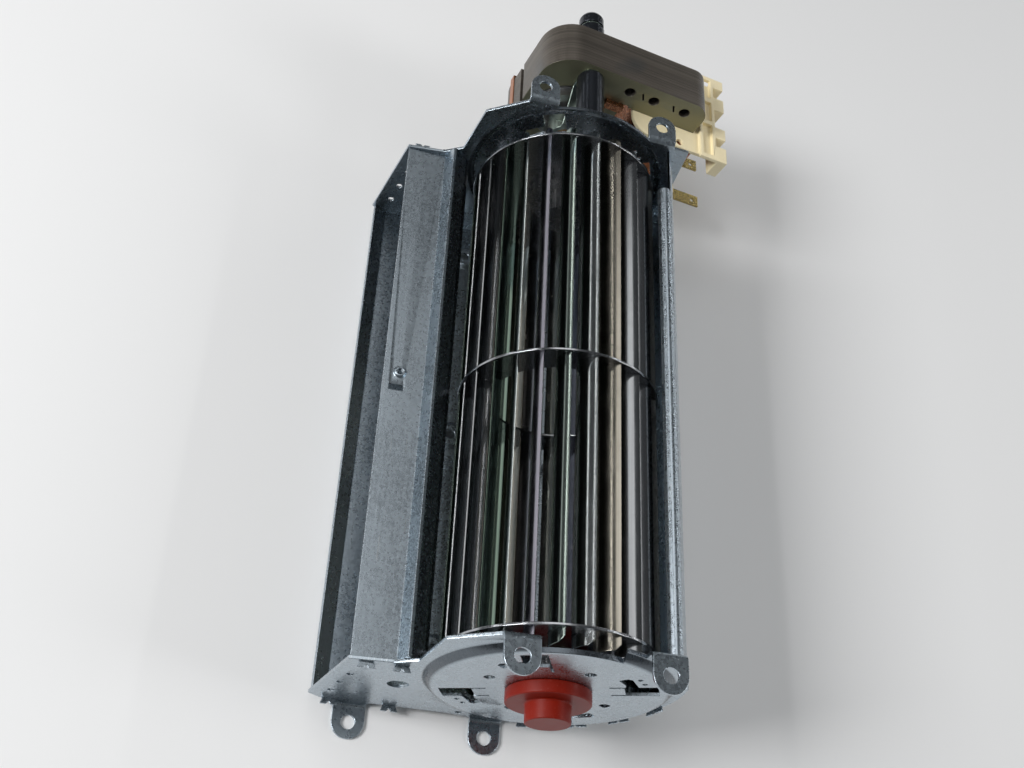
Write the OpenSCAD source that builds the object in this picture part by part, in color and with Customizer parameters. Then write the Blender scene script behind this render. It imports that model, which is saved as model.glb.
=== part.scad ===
// Tangential blower with a shaded-pole motor on one end.
// X runs along the wheel axis towards the motor, +Y towards the outlet, +Z up out of the inlet.
// The origin is the middle of the four foot holes, in the plane that the feet stand on.

/* [Housing] */
// Thickness of the side plates
plate_t = 1.0; // [0.8:0.1:1.2]
// Thickness of the scroll and outlet walls
wall_t = 0.8; // [0.6:0.1:1.0]
// Height of the wheel axis above the feet
axis_h = 42; // [41:0.5:50]
// Distance from the wheel axis to the outlet edge, along Y
outlet_reach = 60; // [56:1:80]
// Depth of the drawn dish in each side plate
dish_depth = 2.2; // [1.6:0.1:3]
// Radius of the flat floor of the dish
dish_floor_r = 31.2; // [30.8:0.1:31.6]
// Radius of the dish where it meets the flat plate
dish_rim_r = 33.8; // [33.2:0.1:34.2]

/* [Scroll] */
// Inner radius of the scroll arc
scroll_r = 39.8; // [39:0.1:41]
// Distance from the wheel axis to the inside of the scroll on the side away from the outlet
scroll_side = 35; // [33:0.5:37]
// Drop from the wheel axis to the inside of the scroll floor
scroll_drop = 37.5; // [36:0.5:40]
// Height of the inlet lip above the wheel axis
lip_z = 25; // [22:0.5:27]
// Diameter of the rolled edge of the lip
lip_roll_d = 4.2; // [3.6:0.1:5]
// Length at the motor end where the lip is left flat
lip_plain_len = 17; // [8:1:30]
// Diameter of the embossed bosses in the scroll floor
boss_d = 10; // [8:0.5:12]
// Distance between neighbouring bosses
boss_pitch = 73; // [50:1:80]
// Distance of the row of bosses from the wheel axis, along Y
boss_y = 25.3; // [22:0.1:30]

/* [Outlet wall] */
// Distance from the wheel axis to the free edge of the outlet wall
outlet_wall_end = 54; // [52:0.5:56]
// Distance from the wheel axis to the fold of the outlet wall
outlet_wall_fold = 41.6; // [41:0.1:43]
// Level of the outlet wall below the wheel axis
outlet_wall_drop = 1; // [0.5:0.1:3]
// Height of the ridge between the fold and the tongue
ridge_h = 5; // [3:0.5:6]
// Gap between the tongue and the wheel
tongue_gap = 3.2; // [2.5:0.1:4]

/* [Ears] */
// Width of the fixing ears
ear_w = 9.5; // [9:0.1:10]
// Length of the fixing ears beyond the plate
ear_len = 10; // [9:0.1:12]
// Diameter of the holes in the ears
ear_hole_d = 4.2; // [3.6:0.1:4.8]
// Distance of the ear holes from the outer face of the plate
ear_hole_x = 5.2; // [4.8:0.1:6]
// Height of the inlet ears above the wheel axis
inlet_ear_z = 34.5; // [34:0.5:36]
// Height of the lower inlet ear of the motor plate above the wheel axis
low_ear_z = 28.5; // [28:0.5:30]

/* [Wheel] */
// Diameter over the blade tips
wheel_d = 60; // [59:0.5:60.5]
// Distance between the outer faces of the two end discs, which the housing follows
wheel_span = 165; // [120:1:300]
// Distance from the end disc to the outer face of the bearing plate
bearing_gap = 5.5; // [5.2:0.1:8]
// Distance from the end disc to the outer face of the motor plate
motor_end_gap = 7.5; // [6:0.1:10]
// Number of blades
blade_count = 24; // [18:1:26]
// Thickness of the blades
blade_t = 0.5; // [0.4:0.05:0.6]
// Radial depth of the blades
blade_depth = 7; // [6:0.5:8]
// Length of the blades beyond the end discs
blade_over = 3.8; // [3:0.1:4.2]
// Thickness of the discs and of the middle ring
disc_t = 0.8; // [0.6:0.1:1.0]
// Height of the disc rims over the blade tips
rim_over = 0.7; // [0.4:0.1:1]
// Diameter of the rotor shaft and of the stub shaft
shaft_d = 5; // [4:0.5:6]

/* [Bearing end] */
// Diameter of the rubber flange outside the plate
bush_flange_d = 23.6; // [20:0.2:25]
// Thickness of the rubber flange
bush_flange_t = 3.6; // [3:0.1:5]
// Diameter of the rubber nose
bush_nose_d = 12.6; // [11:0.2:14]
// Length of the rubber nose beyond the flange
bush_nose_len = 5.2; // [4:0.1:8]
// Diameter of the groove that sits in the plate
bush_neck_d = 17; // [15:0.5:18]
// Outer diameter of the bearing sleeve in the rubber bush
sleeve_d = 9; // [8.5:0.5:10]

/* [Motor] */
// Turn of the motor about the wheel axis
motor_turn = 9.4; // [0:0.1:15]
// Gap between the motor plate and the lamination stack
motor_gap = 30.7; // [28:0.1:36]
// Thickness of the lamination stack
stack_t = 17.3; // [14:0.1:20]
// Width of the lamination stack across its two limbs
stack_w = 49; // [48:0.2:52]
// Distance from the shaft to the round end of the stack
stack_round_end = 16.4; // [16:0.2:18]
// Distance from the shaft to the coil end of the stack
stack_coil_end = 46; // [45:0.2:50]
// Width of each limb
limb_w = 12.6; // [12:0.1:13]
// Width of the coil leg
leg_w = 13; // [12:0.5:13.5]
// Diameter of the rotor core
rotor_d = 25; // [23:0.5:26]
// Air gap between the rotor and the poles
air_gap = 0.35; // [0.3:0.05:0.5]
// Distance of the motor screws from the shaft
screw_offset = 18.9; // [18.5:0.1:19.2]
// Diameter of the motor screws
screw_d = 4; // [3:0.5:4]
// Diameter of the spacers between plate and stack
post_d = 9.6; // [9:0.1:10]
// Length of the rear columns
column_len = 5.2; // [4.6:0.1:9]
// Thickness of the coil around the leg
coil_depth = 8; // [6:0.5:8.4]
// Width of the spade terminals
spade_w = 4.8; // [2.8:0.1:6.3]

/* [Hidden] */
$fn = 64;
fit = 0.04;
seat = 0.05;
eps = 0.01;
big = 400;
over = 1;

// Levels along X, measured from the middle of the housing
housing_w = wheel_span + bearing_gap + motor_end_gap;
plate_x = housing_w / 2;
floor_x = plate_x + dish_depth;

// Feet, along Y from the wheel axis
foot_in_y = 7.2;
foot_out_y = 47.6;
foot_mid_y = (foot_in_y + foot_out_y) / 2;
bend_r = 1;

// Inlet ears, along Y from the wheel axis
ear_a_y = 17;
ear_b_y = -21.4;
low_ear_y = -25.2;

// Scroll
scroll_y = scroll_r - scroll_side;
scroll_z = scroll_r - scroll_drop;
wall_inside = housing_w / 2 - plate_t;
lip_angle = 180 - asin((lip_z - scroll_z) / (scroll_r + wall_t));
floor_out_y = outlet_reach - 5;
lip_rise = 38;
lip_out_len = 5;
fold_r = 0.8;
boss_h = 1.2;
boss_x = 2;
boss_hole_d = 3;
arc_tab_w = 6;
tab_w = 3.8;
tab_out = 1.7;
tab_splay = 0.6;
tab_angles = [196, 216, 236, 256];
floor_tab_y = [36.6, floor_out_y - 0.9];
wall_tab_y = [49.5, outlet_wall_fold - 1.6];
collar = [0.2, 49];
collar_d = 4;
collar_h = 0.8;
key_slot = [1.9, 4.5];
key_slot_at = [-5.1, 49.7];
boss_slope = 1.5;
boss_sheet = 0.5;
collar_slope = 0.5;
ridge_back = 2.3;
ridge_out = 0.3;
ridge_in = 0.7;
ridge_fall = 0.2;
tongue_r = 1.2;
tongue_drop = 0.5;
tongue_sink = 0.6;

// Plate outline
plate_margin = 1.1;
plate_r = scroll_r + wall_t + plate_margin;
knee = [33.8, 23.8];
shoulder = [36.6, 4.5];
corner_cut = 6;
rim_at_fold = [1, 1.6];
rim_at_end = [0.4, 0.6];
rim_at_floor = [0.5, 2.4];
side_z = 10;
side_in = 0.6;
relief_up = 2;
relief_step = 1;
relief_len = 6.5;
bearing_flap = 0.2;
motor_flap = 5.4;
flap_drop = 0.4;
gauge_hole_d = 6;
gauge_hole = [38.1, -17.1];
edge_hole_d = 2;
edge_holes = [[51.9, -13.6], [53.4, -21.5], [54.8, -29.5], [16.5, -36]];
dish_bend = 0.6;
dish_trim_r = 31.6;
dish_trim_y = -10.5;

// Disc of the dish
disc_hole_r = 18.9;
disc_hole_d = 3;
disc_hole_turn = 18;
pin_hole_d = 1.4;
pin_holes = [[26.2, -6], [25.2, -9.4]];
window_turn = -24;
window_in = 20.6;
window_out = 29.6;
window_half = 3.5;
wing_in = 19.6;
wing_out = 23.2;
wing_reach = 10.4;
slit_in = 16.6;
slit_w = 0.7;
wing_step = 0.2;
wing_root = 1.6;
wing_bend = 1.2;
wing_nose = 0.8;
hub_clear = 3;

// Wheel
wheel_r = wheel_d / 2;
rim_r = wheel_r + rim_over;
blade_in_r = wheel_r - blade_depth;
blade_exit = 32;
blade_r = (wheel_r * wheel_r - blade_in_r * blade_in_r) / (2 * wheel_r * cos(blade_exit));
blade_centre_r = sqrt(blade_in_r * blade_in_r + blade_r * blade_r);
wheel_mid_x = (bearing_gap - motor_end_gap) / 2;
disc_x0 = wheel_mid_x - wheel_span / 2;
disc_x1 = wheel_mid_x + wheel_span / 2;
blade_len = wheel_span + 2 * blade_over;
blade_corner = 1.6;
ring_in_r = blade_in_r - 2.2;
hub_d = 14;
hub_len = 11;
hub_flange_d = 24;
hub_flange_t = 2.4;
set_screw_d = 3;
stub_flange_d = 22;
stub_flange_t = 1.5;
stub_boss_d = shaft_d + 3;
set_screw_in = 3.5;
set_screw_low = 0.4;
socket_d = 1.5;
socket_from = 2.4;

// Bearing end
sleeve_len = 9;
bush_inner_d = 21;
bush_inner_t = 2.2;
nose_wall = 2.5;
stub_end_x = -(floor_x + bush_flange_t + bush_nose_len - nose_wall);
shaft_end_gap = 0.6;
nose_bore_over = 1;
shaft_chamfer = 0.4;

// Motor levels along X
stack_x0 = plate_x + motor_gap;
stack_x1 = stack_x0 + stack_t;
bridge_t = 1.2;
rear_strap_x = stack_x1 + column_len;
end_ring_t = 3;
end_ring_step = 1.2;
end_ring_w = 3;
end_ring_r = rotor_d / 2 - end_ring_step;
bearing_d = 9;
bearing_l = 7;
bearing_in = 0.4;
retainer_t = 0.5;
retainer_fit = 0.1;
retainer_bore_over = 2;
washer_t = 0.8;
washer_w = 2;
washer_gap = 0.1;
cup_wall = 1.6;
cup_clear = 1.5;
cup_sink = 1.5;
shaft_in = 0.8;
arm_over = 0.15;
cup_r = bearing_d / 2 + cup_wall;
cup_depth = bearing_l + bridge_t;
front_cup_x = stack_x0 - end_ring_t - cup_clear - cup_depth;
rear_cup_x = rear_strap_x - cup_sink;
shaft_end_x = rear_cup_x + cup_depth - shaft_in;
strap_w = 8;
arm_z = screw_offset - post_d / 2 - arm_over;
stack_corner_r = 12;
stack_small_r = 6.5;
pole_back = 4;
slot_start = rotor_d / 2 + pole_back;
leg_y0 = -stack_coil_end;
limb_in = stack_w / 2 - limb_w;
flange_t = 1.5;
coil_half = limb_in - flange_t;
tube_t = 1.2;
coil_round = 7;
lam_hole_d = 3.9;
lam_row = 19;
lam_holes = [-15.6, -25.2, -37.7];
lam_slits = [-20.9, -33.3];
lam_slit = [3, 0.6];
lam_slit_turn = 60;
pole_gap = 2.4;
notch_w = 2.3;
notch_z = -3.9;
notch_depth = 2.2;
ring_bar = 2;
ring_high = 3;
ring_y0 = 9.6;
ring_out = 0.3;
ring_y1 = stack_round_end + ring_out;
ring_z = -12.8;
column_d = 9.2;
nut_d = 8.8;
nut_side = 3.4;
nut_sink = 1.6;
thread_out = 3.2;
head_flats = 7;
head_t = 2.6;
screw_fit = 0.2;

// Coil former, its terminal comb and the tabs
former_over = 9.2;
former_in = -20.8;
former_out = leg_y0 - 9;
former_round = 8;
former_hole_d = 2.6;
former_hole = [6.8, -40];
comb_front = 10.7;
comb_rear = 12.5;
comb_in = leg_y0 - 2;
comb_out = leg_y0 - 13;
comb_rise = 1.5;
comb_drop = 5;
comb_pocket = 4;
comb_back = 1.4;
comb_pockets = [[-8.8, 5.8], [7.8, 17.1], [19.2, 28.2]];
comb_notches = [[-3.7, 0.3], [5.5, 14.1], [20.3, 25.2]];
comb_notch_depth = 4.3;
spade_t = 0.8;
spade_out = 8.6;
spade_root = 6;
spade_hole_d = 1.6;
spade_hole_in = 2.6;
spade_x = [stack_x0 - 6.7, stack_x0 + 11.2];
block_t = 1.4;
block_over = 3.4;

// Moves a sub-part from the wheel axis frame into the part frame
module placed() translate([0, -foot_mid_y, axis_h]) children();

// Extrudes an outline drawn in (Y, Z) from x0 to x1
module slab(x0, x1) translate([x0, 0, 0]) rotate([90, 0, 90]) linear_extrude(x1 - x0) children();

// Revolves a profile drawn as (radius, x) about the wheel axis
module turned() rotate([0, 90, 0]) rotate_extrude() children();

// Cylinder along X from x0 to x1
module rod(x0, x1, d) translate([x0, 0, 0]) rotate([0, 90, 0]) cylinder(d = d, h = x1 - x0);

// Rod whose ends are chamfered by c0 and c1
module chamfered(x0, x1, d, c0, c1) turned()
    polygon([[0, x0], [d / 2 - c0, x0], [d / 2, x0 + c0], [d / 2, x1 - c1], [d / 2 - c1, x1], [0, x1]]);

// Puts children at a point of the (Y, Z) plane
module at_yz(y, z) translate([0, y, z]) children();

// Frame of the motor, turned about the shaft
module motor_frame() rotate([motor_turn, 0, 0]) children();

// Ear bent out of the top edge of a plate whose outer face lies at plate_x
module ear() {
    flat0 = plate_x + bend_r;
    tip = plate_x + ear_len;
    difference() {
        union() {
            translate([flat0, -ear_w / 2, -plate_t]) cube([tip - ear_w / 2 - flat0, ear_w, plate_t]);
            translate([tip - ear_w / 2, 0, -plate_t]) cylinder(d = ear_w, h = plate_t);
            translate([0, ear_w / 2, 0]) rotate([90, 0, 0]) linear_extrude(ear_w)
                translate([flat0, -plate_t - bend_r]) intersection() {
                    difference() {
                        circle(r = bend_r + plate_t);
                        circle(r = bend_r);
                    }
                    translate([-big, 0]) square([big, big]);
                }
        }
        translate([plate_x + ear_hole_x, 0, -plate_t - eps])
            cylinder(d = ear_hole_d, h = plate_t + 2 * eps);
    }
}

// Outline of a side plate without its ears
module plate_outline(ear_y, ear_z, flap) {
    foot_z = -axis_h + plate_t + bend_r;
    corner_y = outlet_reach + rim_at_floor[0];
    polygon([shoulder, [outlet_wall_fold + rim_at_fold[0], -outlet_wall_drop + rim_at_fold[1]],
             [outlet_wall_end + rim_at_end[0], -outlet_wall_drop + rim_at_end[1]],
             [corner_y, -scroll_drop + rim_at_floor[1]], [corner_y - corner_cut, foot_z],
             [foot_out_y - ear_w / 2, foot_z], [foot_out_y - ear_w / 2 - relief_step, foot_z + relief_up],
             [foot_in_y + ear_w / 2 + relief_len, foot_z + relief_up],
             [foot_in_y + ear_w / 2, foot_z], [foot_in_y - ear_w / 2, foot_z],
             [foot_in_y - ear_w / 2, -plate_r / 2], [0, 0], [ear_a_y - ear_w / 2, plate_r / 2],
             [ear_a_y - ear_w / 2, inlet_ear_z - plate_t - bend_r],
             [ear_a_y + ear_w / 2, inlet_ear_z - plate_t - bend_r], knee]);
    intersection() {
        translate([scroll_y, scroll_z]) circle(r = plate_r);
        translate([-big, -big]) square([big + foot_in_y, big + side_z]);
    }
    polygon([[0, 0], [-plate_r + scroll_y + side_in, side_z],
             [ear_y - ear_w / 2 - flap, ear_z - plate_t - bend_r - flap_drop],
             [ear_y - ear_w / 2, ear_z - plate_t - bend_r], [ear_y + ear_w / 2, ear_z - plate_t - bend_r],
             [ear_y + ear_w / 2, plate_r / 2]]);
    intersection() {
        circle(r = dish_rim_r);
        translate([-big / 2, 0]) square([big, big]);
    }
}

// Slots for the tabs of the scroll and of the outlet wall
module tab_slots(extra) {
    for (angle = tab_angles)
        translate([scroll_y, scroll_z]) rotate(angle)
            translate([scroll_r - extra, -arc_tab_w / 2 - extra])
                square([wall_t + 2 * extra, arc_tab_w + 2 * extra]);
    for (y = floor_tab_y)
        translate([y - tab_w / 2 - extra, -scroll_drop - wall_t - extra])
            square([tab_w + 2 * extra, wall_t + 2 * extra]);
}

module outlet_tab_slots(extra) {
    for (y = wall_tab_y)
        translate([y - tab_w / 2 - extra, -outlet_wall_drop - wall_t - extra])
            square([tab_w + 2 * extra, wall_t + 2 * extra]);
}

// Windows and holes pressed through the floor of the dish
module floor_holes(quarters) {
    for (k = quarters) rotate(disc_hole_turn + 90 * k) translate([disc_hole_r, 0]) circle(d = disc_hole_d);
    for (k = [0:3]) rotate(window_turn + 90 * k) {
        translate([window_in, -window_half]) square([window_out - window_in, 2 * window_half]);
        polygon([[window_in + wing_step, 0], [window_in + 3 * wing_step, -window_half - wing_root],
                 [wing_in, wing_bend - wing_reach], [wing_out - wing_bend, -wing_reach],
                 [wing_out, wing_nose - wing_reach], [wing_out + wing_bend, -window_half],
                 [wing_out + wing_bend, 0]]);
        for (side = [-1, 1]) translate([slit_in, side * (window_half - slit_w / 2) - slit_w / 2])
            square([window_in - slit_in + eps, slit_w]);
    }
    for (k = [0, 2]) rotate(window_turn + 90 * k) for (p = pin_holes) translate(p) circle(d = pin_hole_d);
}

// Drawn dish as a solid of revolution, from the plate to its floor
module dish_shell() {
    turned() polygon([[0, floor_x - plate_t], [dish_floor_r - dish_bend, floor_x - plate_t],
        [dish_rim_r - dish_bend, plate_x - plate_t], [dish_rim_r + dish_bend, plate_x - plate_t],
        [dish_rim_r + dish_bend, plate_x], [dish_rim_r - dish_bend / 3, plate_x + dish_bend / 3],
        [dish_floor_r + dish_bend / 3, floor_x - dish_bend / 3], [dish_floor_r - dish_bend, floor_x],
        [0, floor_x]]);
}

// One side plate with its outer face on the +X side
module side_plate(ear_y, ear_z, flap, quarters) {
    difference() {
        union() {
            slab(plate_x - plate_t, plate_x) difference() {
                plate_outline(ear_y, ear_z, flap);
                circle(r = dish_rim_r);
                tab_slots(fit);
                outlet_tab_slots(fit);
                translate(gauge_hole) circle(d = gauge_hole_d);
                for (p = edge_holes) translate(p) circle(d = edge_hole_d);
            }
            dish_shell();
        }
        slab(plate_x - 2 * plate_t, floor_x + plate_t) floor_holes(quarters);
    }
    at_yz(ear_a_y, inlet_ear_z) ear();
    at_yz(ear_y, ear_z) ear();
    for (y = [foot_in_y, foot_out_y]) at_yz(y, -axis_h) mirror([0, 0, 1]) ear();
}

module bearing_side_plate() placed() color([0.62, 0.66, 0.67]) difference() {
    mirror([1, 0, 0]) side_plate(ear_b_y, inlet_ear_z, bearing_flap, [0:3]);
    rod(-floor_x - over, -floor_x + plate_t + over, bush_neck_d);
    slab(-floor_x - over, -plate_x + plate_t + over) difference() {
        translate([dish_trim_y, dish_trim_r / 2]) square([ear_a_y - ear_w / 2 - dish_trim_y, dish_rim_r]);
        circle(r = dish_trim_r);
    }
}

module motor_side_plate() placed() color([0.62, 0.66, 0.67]) difference() {
    side_plate(low_ear_y, low_ear_z, motor_flap, [0, 2]);
    rod(floor_x - plate_t - over, floor_x + over, hub_d + 2 * hub_clear);
    motor_frame() for (side = [-1, 1]) at_yz(0, side * screw_offset)
        rod(floor_x - plate_t - over, floor_x + over, screw_d + screw_fit);
}

// Tab that goes through a slot of both plates, splayed where it comes out
module wall_tab(width) {
    for (side = [-1, 1]) mirror([side < 0 ? 1 : 0, 0, 0]) {
        translate([wall_inside - eps, -width / 2, 0]) cube([plate_t + eps, width, wall_t]);
        translate([plate_x, 0, 0]) linear_extrude(wall_t) polygon([[0, -width / 2], [0, width / 2],
            [tab_out, width / 2 + tab_splay], [tab_out, tab_splay], [tab_out / 2, 0],
            [tab_out, -tab_splay], [tab_out, -width / 2 - tab_splay]]);
    }
}

// Section of a fold in the wall sheet, from straight down round by angle towards +Y
module fold(angle) rotate(-90) intersection() {
    difference() {
        circle(r = fold_r + wall_t);
        circle(r = fold_r);
    }
    polygon([[0, 0], [big, 0], [big * cos(angle), big * sin(angle)]]);
}

// Arc part of the scroll, from the floor round to the lip
module scroll_arc() {
    translate([scroll_y, scroll_z]) intersection() {
        difference() {
            circle(r = scroll_r + wall_t);
            circle(r = scroll_r);
        }
        union() {
            translate([-big, -big]) square([big, big]);
            rotate(lip_angle) translate([0, -eps]) square([big, big]);
        }
    }
}

module scroll_wall() placed() color([0.5, 0.56, 0.57]) {
    roll_r = scroll_r + wall_t - lip_roll_d / 2;
    lip = [scroll_y + roll_r * cos(lip_angle), scroll_z + roll_r * sin(lip_angle)];
    difference() {
        union() {
            slab(-wall_inside, wall_inside) {
                scroll_arc();
                translate([scroll_y, -scroll_drop - wall_t]) square([floor_out_y - scroll_y, wall_t]);
                translate([floor_out_y, -scroll_drop + fold_r]) {
                    fold(lip_rise);
                    rotate(lip_rise) translate([0, -fold_r - wall_t]) square([lip_out_len, wall_t]);
                }
            }
            for (k = [-1:1]) translate([boss_x + k * boss_pitch, boss_y, -scroll_drop])
                cylinder(d1 = boss_d, d2 = boss_d - 2 * boss_slope, h = boss_h);
        }
        for (k = [-1:1]) translate([boss_x + k * boss_pitch, boss_y, -scroll_drop - wall_t - eps]) {
            cylinder(d1 = boss_d - 2 * boss_sheet, d2 = boss_d - 2 * (boss_sheet + boss_slope), h = boss_h);
            cylinder(d = boss_hole_d, h = boss_h + wall_t + 2 * eps);
        }
    }
    translate([0, lip[0], lip[1]]) difference() {
        rod(-wall_inside, wall_inside - lip_plain_len, lip_roll_d);
        rod(-wall_inside - over, wall_inside - lip_plain_len + over, lip_roll_d - 2 * wall_t);
    }
    for (angle = tab_angles) at_yz(scroll_y, scroll_z) rotate([angle, 0, 0])
        translate([0, scroll_r, 0]) rotate([90, 0, 0]) mirror([0, 0, 1]) wall_tab(arc_tab_w);
    for (y = floor_tab_y) translate([0, y, -scroll_drop - wall_t]) wall_tab(tab_w);
}

module outlet_wall() placed() color([0.7, 0.74, 0.76]) {
    level = -outlet_wall_drop - wall_t;
    tip_y = wheel_r + tongue_gap + tongue_r;
    ridge_y = outlet_wall_fold - ridge_back;
    ridge_z = level + wall_t + ridge_h;
    difference() {
        union() {
            slab(-wall_inside, wall_inside) {
                translate([outlet_wall_fold, level]) square([outlet_wall_end - outlet_wall_fold, wall_t]);
                polygon([[outlet_wall_fold, level], [outlet_wall_fold, level + wall_t],
                         [ridge_y + ridge_out, ridge_z], [ridge_y - ridge_in, ridge_z - ridge_fall],
                         [outlet_wall_fold - wall_t, level]]);
                polygon([[ridge_y + ridge_out, ridge_z], [tip_y - ridge_in, level + wall_t],
                         [tip_y, level + wall_t - tongue_drop],
                         [ridge_y - ridge_fall, ridge_z - wall_t - tongue_sink]]);
                translate([tip_y, level - tongue_sink]) difference() {
                    circle(r = tongue_r);
                    circle(r = tongue_r - wall_t / 2);
                }
            }
            translate([collar[0], collar[1], level + wall_t])
                cylinder(d1 = collar_d, d2 = collar_d - 2 * collar_slope, h = collar_h);
        }
        translate([collar[0], collar[1], level - eps]) cylinder(d = collar_d / 2, h = 3 * wall_t);
        translate([key_slot_at[0], key_slot_at[1], level + wall_t / 2])
            cube([key_slot[0], key_slot[1], 3 * wall_t], center = true);
    }
    for (y = wall_tab_y) translate([0, y, level]) wall_tab(tab_w);
}

module bearing_bush() placed() color([0.8, 0.18, 0.07]) mirror([1, 0, 0]) difference() {
    union() {
        rod(floor_x, floor_x + bush_flange_t, bush_flange_d);
        rod(floor_x + bush_flange_t, floor_x + bush_flange_t + bush_nose_len, bush_nose_d);
        rod(floor_x - plate_t, floor_x, bush_neck_d);
        rod(floor_x - plate_t - bush_inner_t, floor_x - plate_t, bush_inner_d);
    }
    rod(floor_x - plate_t - bush_inner_t - over, floor_x - plate_t - bush_inner_t + sleeve_len, sleeve_d);
    rod(floor_x, -stub_end_x + shaft_end_gap, shaft_d + nose_bore_over);
}

module bush_sleeve() placed() color([0.62, 0.45, 0.25]) mirror([1, 0, 0]) {
    x0 = floor_x - plate_t - bush_inner_t;
    difference() {
        rod(x0, x0 + sleeve_len, sleeve_d);
        rod(x0 - over, x0 + sleeve_len + over, shaft_d + 2 * fit);
    }
}

// Section of one blade in (Y, Z), grown by extra on each side
module blade_section(extra) intersection() {
    difference() {
        circle(r = wheel_r + extra);
        circle(r = blade_in_r - extra);
    }
    translate([0, blade_centre_r]) difference() {
        circle(r = blade_r + blade_t / 2 + extra);
        circle(r = blade_r - blade_t / 2 - extra);
    }
    square([big, big]);
}

module each_blade() for (k = [0:blade_count - 1]) rotate(k * 360 / blade_count) children();

module impeller_blades() placed() color([0.72, 0.73, 0.75]) {
    x0 = wheel_mid_x - blade_len / 2;
    for (k = [0:blade_count - 1]) rotate([k * 360 / blade_count, 0, 0]) intersection() {
        slab(x0, x0 + blade_len) blade_section(0);
        turned() polygon([[blade_in_r - over, x0], [wheel_r - blade_corner, x0],
            [wheel_r + over, x0 + blade_corner + over], [wheel_r + over, x0 + blade_len - blade_corner - over],
            [wheel_r - blade_corner, x0 + blade_len], [blade_in_r - over, x0 + blade_len]]);
    }
}

// Sheet disc of the wheel with a slot for each blade
module wheel_disc(x0, inner_r) slab(x0, x0 + disc_t) difference() {
    circle(r = rim_r);
    circle(r = inner_r);
    each_blade() blade_section(seat);
}

module end_disc_bearing() placed() color([0.75, 0.76, 0.78]) wheel_disc(disc_x0, stub_boss_d / 2);

module middle_ring() placed() color([0.75, 0.76, 0.78]) wheel_disc(wheel_mid_x - disc_t / 2, ring_in_r);

module end_disc_motor() placed() color([0.75, 0.76, 0.78]) wheel_disc(disc_x1 - disc_t, hub_d / 2);

module stub_shaft() placed() color([0.7, 0.7, 0.72]) {
    rod(disc_x0 + disc_t, disc_x0 + disc_t + stub_flange_t, stub_flange_d);
    chamfered(stub_end_x, disc_x0 + disc_t, shaft_d, shaft_chamfer, 0);
    rod(disc_x0, disc_x0 + disc_t, stub_boss_d);
}

module wheel_hub() placed() color([0.6, 0.6, 0.62]) difference() {
    union() {
        rod(disc_x1 - hub_len, disc_x1, hub_d);
        rod(disc_x1 - disc_t - hub_flange_t, disc_x1 - disc_t, hub_flange_d);
    }
    rod(disc_x1 - hub_len - over, disc_x1 + over, shaft_d);
    translate([disc_x1 - hub_len + set_screw_in, 0, shaft_d / 2]) cylinder(d = set_screw_d, h = hub_d);
}

module hub_set_screw() placed() color([0.2, 0.2, 0.22])
    translate([disc_x1 - hub_len + set_screw_in, 0, shaft_d / 2]) difference() {
        cylinder(d = set_screw_d, h = hub_d / 2 - shaft_d / 2 - set_screw_low);
        translate([0, 0, socket_from]) cylinder(d = socket_d, h = hub_d, $fn = 6);
    }

module rotor_shaft() placed() color([0.7, 0.7, 0.72]) 
    chamfered(disc_x1 - hub_len, shaft_end_x, shaft_d, 0, shaft_chamfer);

module rotor_core() placed() color([0.35, 0.33, 0.32]) difference() {
    union() {
        rod(stack_x0, stack_x1, rotor_d);
        rod(stack_x0 - end_ring_t, stack_x0, 2 * end_ring_r);
        rod(stack_x1, stack_x1 + end_ring_t, 2 * end_ring_r);
    }
    rod(stack_x0 - end_ring_t - over, stack_x1 + end_ring_t + over, shaft_d);
    rod(stack_x0 - end_ring_t - over, stack_x0, 2 * (end_ring_r - end_ring_w));
    rod(stack_x1, stack_x1 + end_ring_t + over, 2 * (end_ring_r - end_ring_w));
}

module thrust_washers() placed() color([0.75, 0.6, 0.4]) {
    for (x = [front_cup_x + cup_depth + washer_gap, rear_cup_x - washer_gap - washer_t]) difference() {
        rod(x, x + washer_t, shaft_d + 2 * washer_w);
        rod(x - over, x + washer_t + over, shaft_d + 2 * fit);
    }
}

// Outline of the lamination in the motor frame
module lamination() {
    half = stack_w / 2;
    difference() {
        hull() {
            for (side = [-1, 1]) translate([stack_round_end - stack_corner_r, side * (half - stack_corner_r)])
                circle(r = stack_corner_r);
            for (side = [-1, 1]) translate([-stack_coil_end + stack_small_r, side * (half - stack_small_r)])
                circle(r = stack_small_r);
        }
        translate([-big - slot_start, -limb_in]) square([big, 2 * limb_in]);
        circle(r = rotor_d / 2 + air_gap);
        translate([-big, -pole_gap / 2]) square([big, pole_gap]);
        translate([stack_round_end - notch_depth, notch_z]) square([big, notch_w]);
        for (side = [0, 180]) rotate(side) {
            translate([ring_y0, ring_z]) square([ring_bar, ring_high]);
            translate([ring_y1 - ring_bar, ring_z]) square([2 * ring_bar, ring_high]);
        }
        for (side = [-1, 1]) translate([0, side * screw_offset]) circle(d = screw_d + screw_fit);
        for (side = [-1, 1], y = lam_holes) translate([y, side * lam_row]) circle(d = lam_hole_d);
        for (side = [-1, 1], y = lam_slits) translate([y, side * lam_row]) rotate(lam_slit_turn)
            square(lam_slit, center = true);
    }
}

module stator_stack() placed() motor_frame() color([0.25, 0.23, 0.21])
    slab(stack_x0, stack_x1) lamination();

module coil_leg() placed() motor_frame() color([0.28, 0.26, 0.24])
    slab(stack_x0, stack_x1) translate([leg_y0, -limb_in]) square([leg_w, 2 * limb_in]);

// Block round the coil leg in the motor frame, grown by out on each side
module leg_block(out, z0, z1) translate([stack_x0 - out, leg_y0 - out, z0])
    cube([stack_t + 2 * out, leg_w + 2 * out, z1 - z0]);

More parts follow.
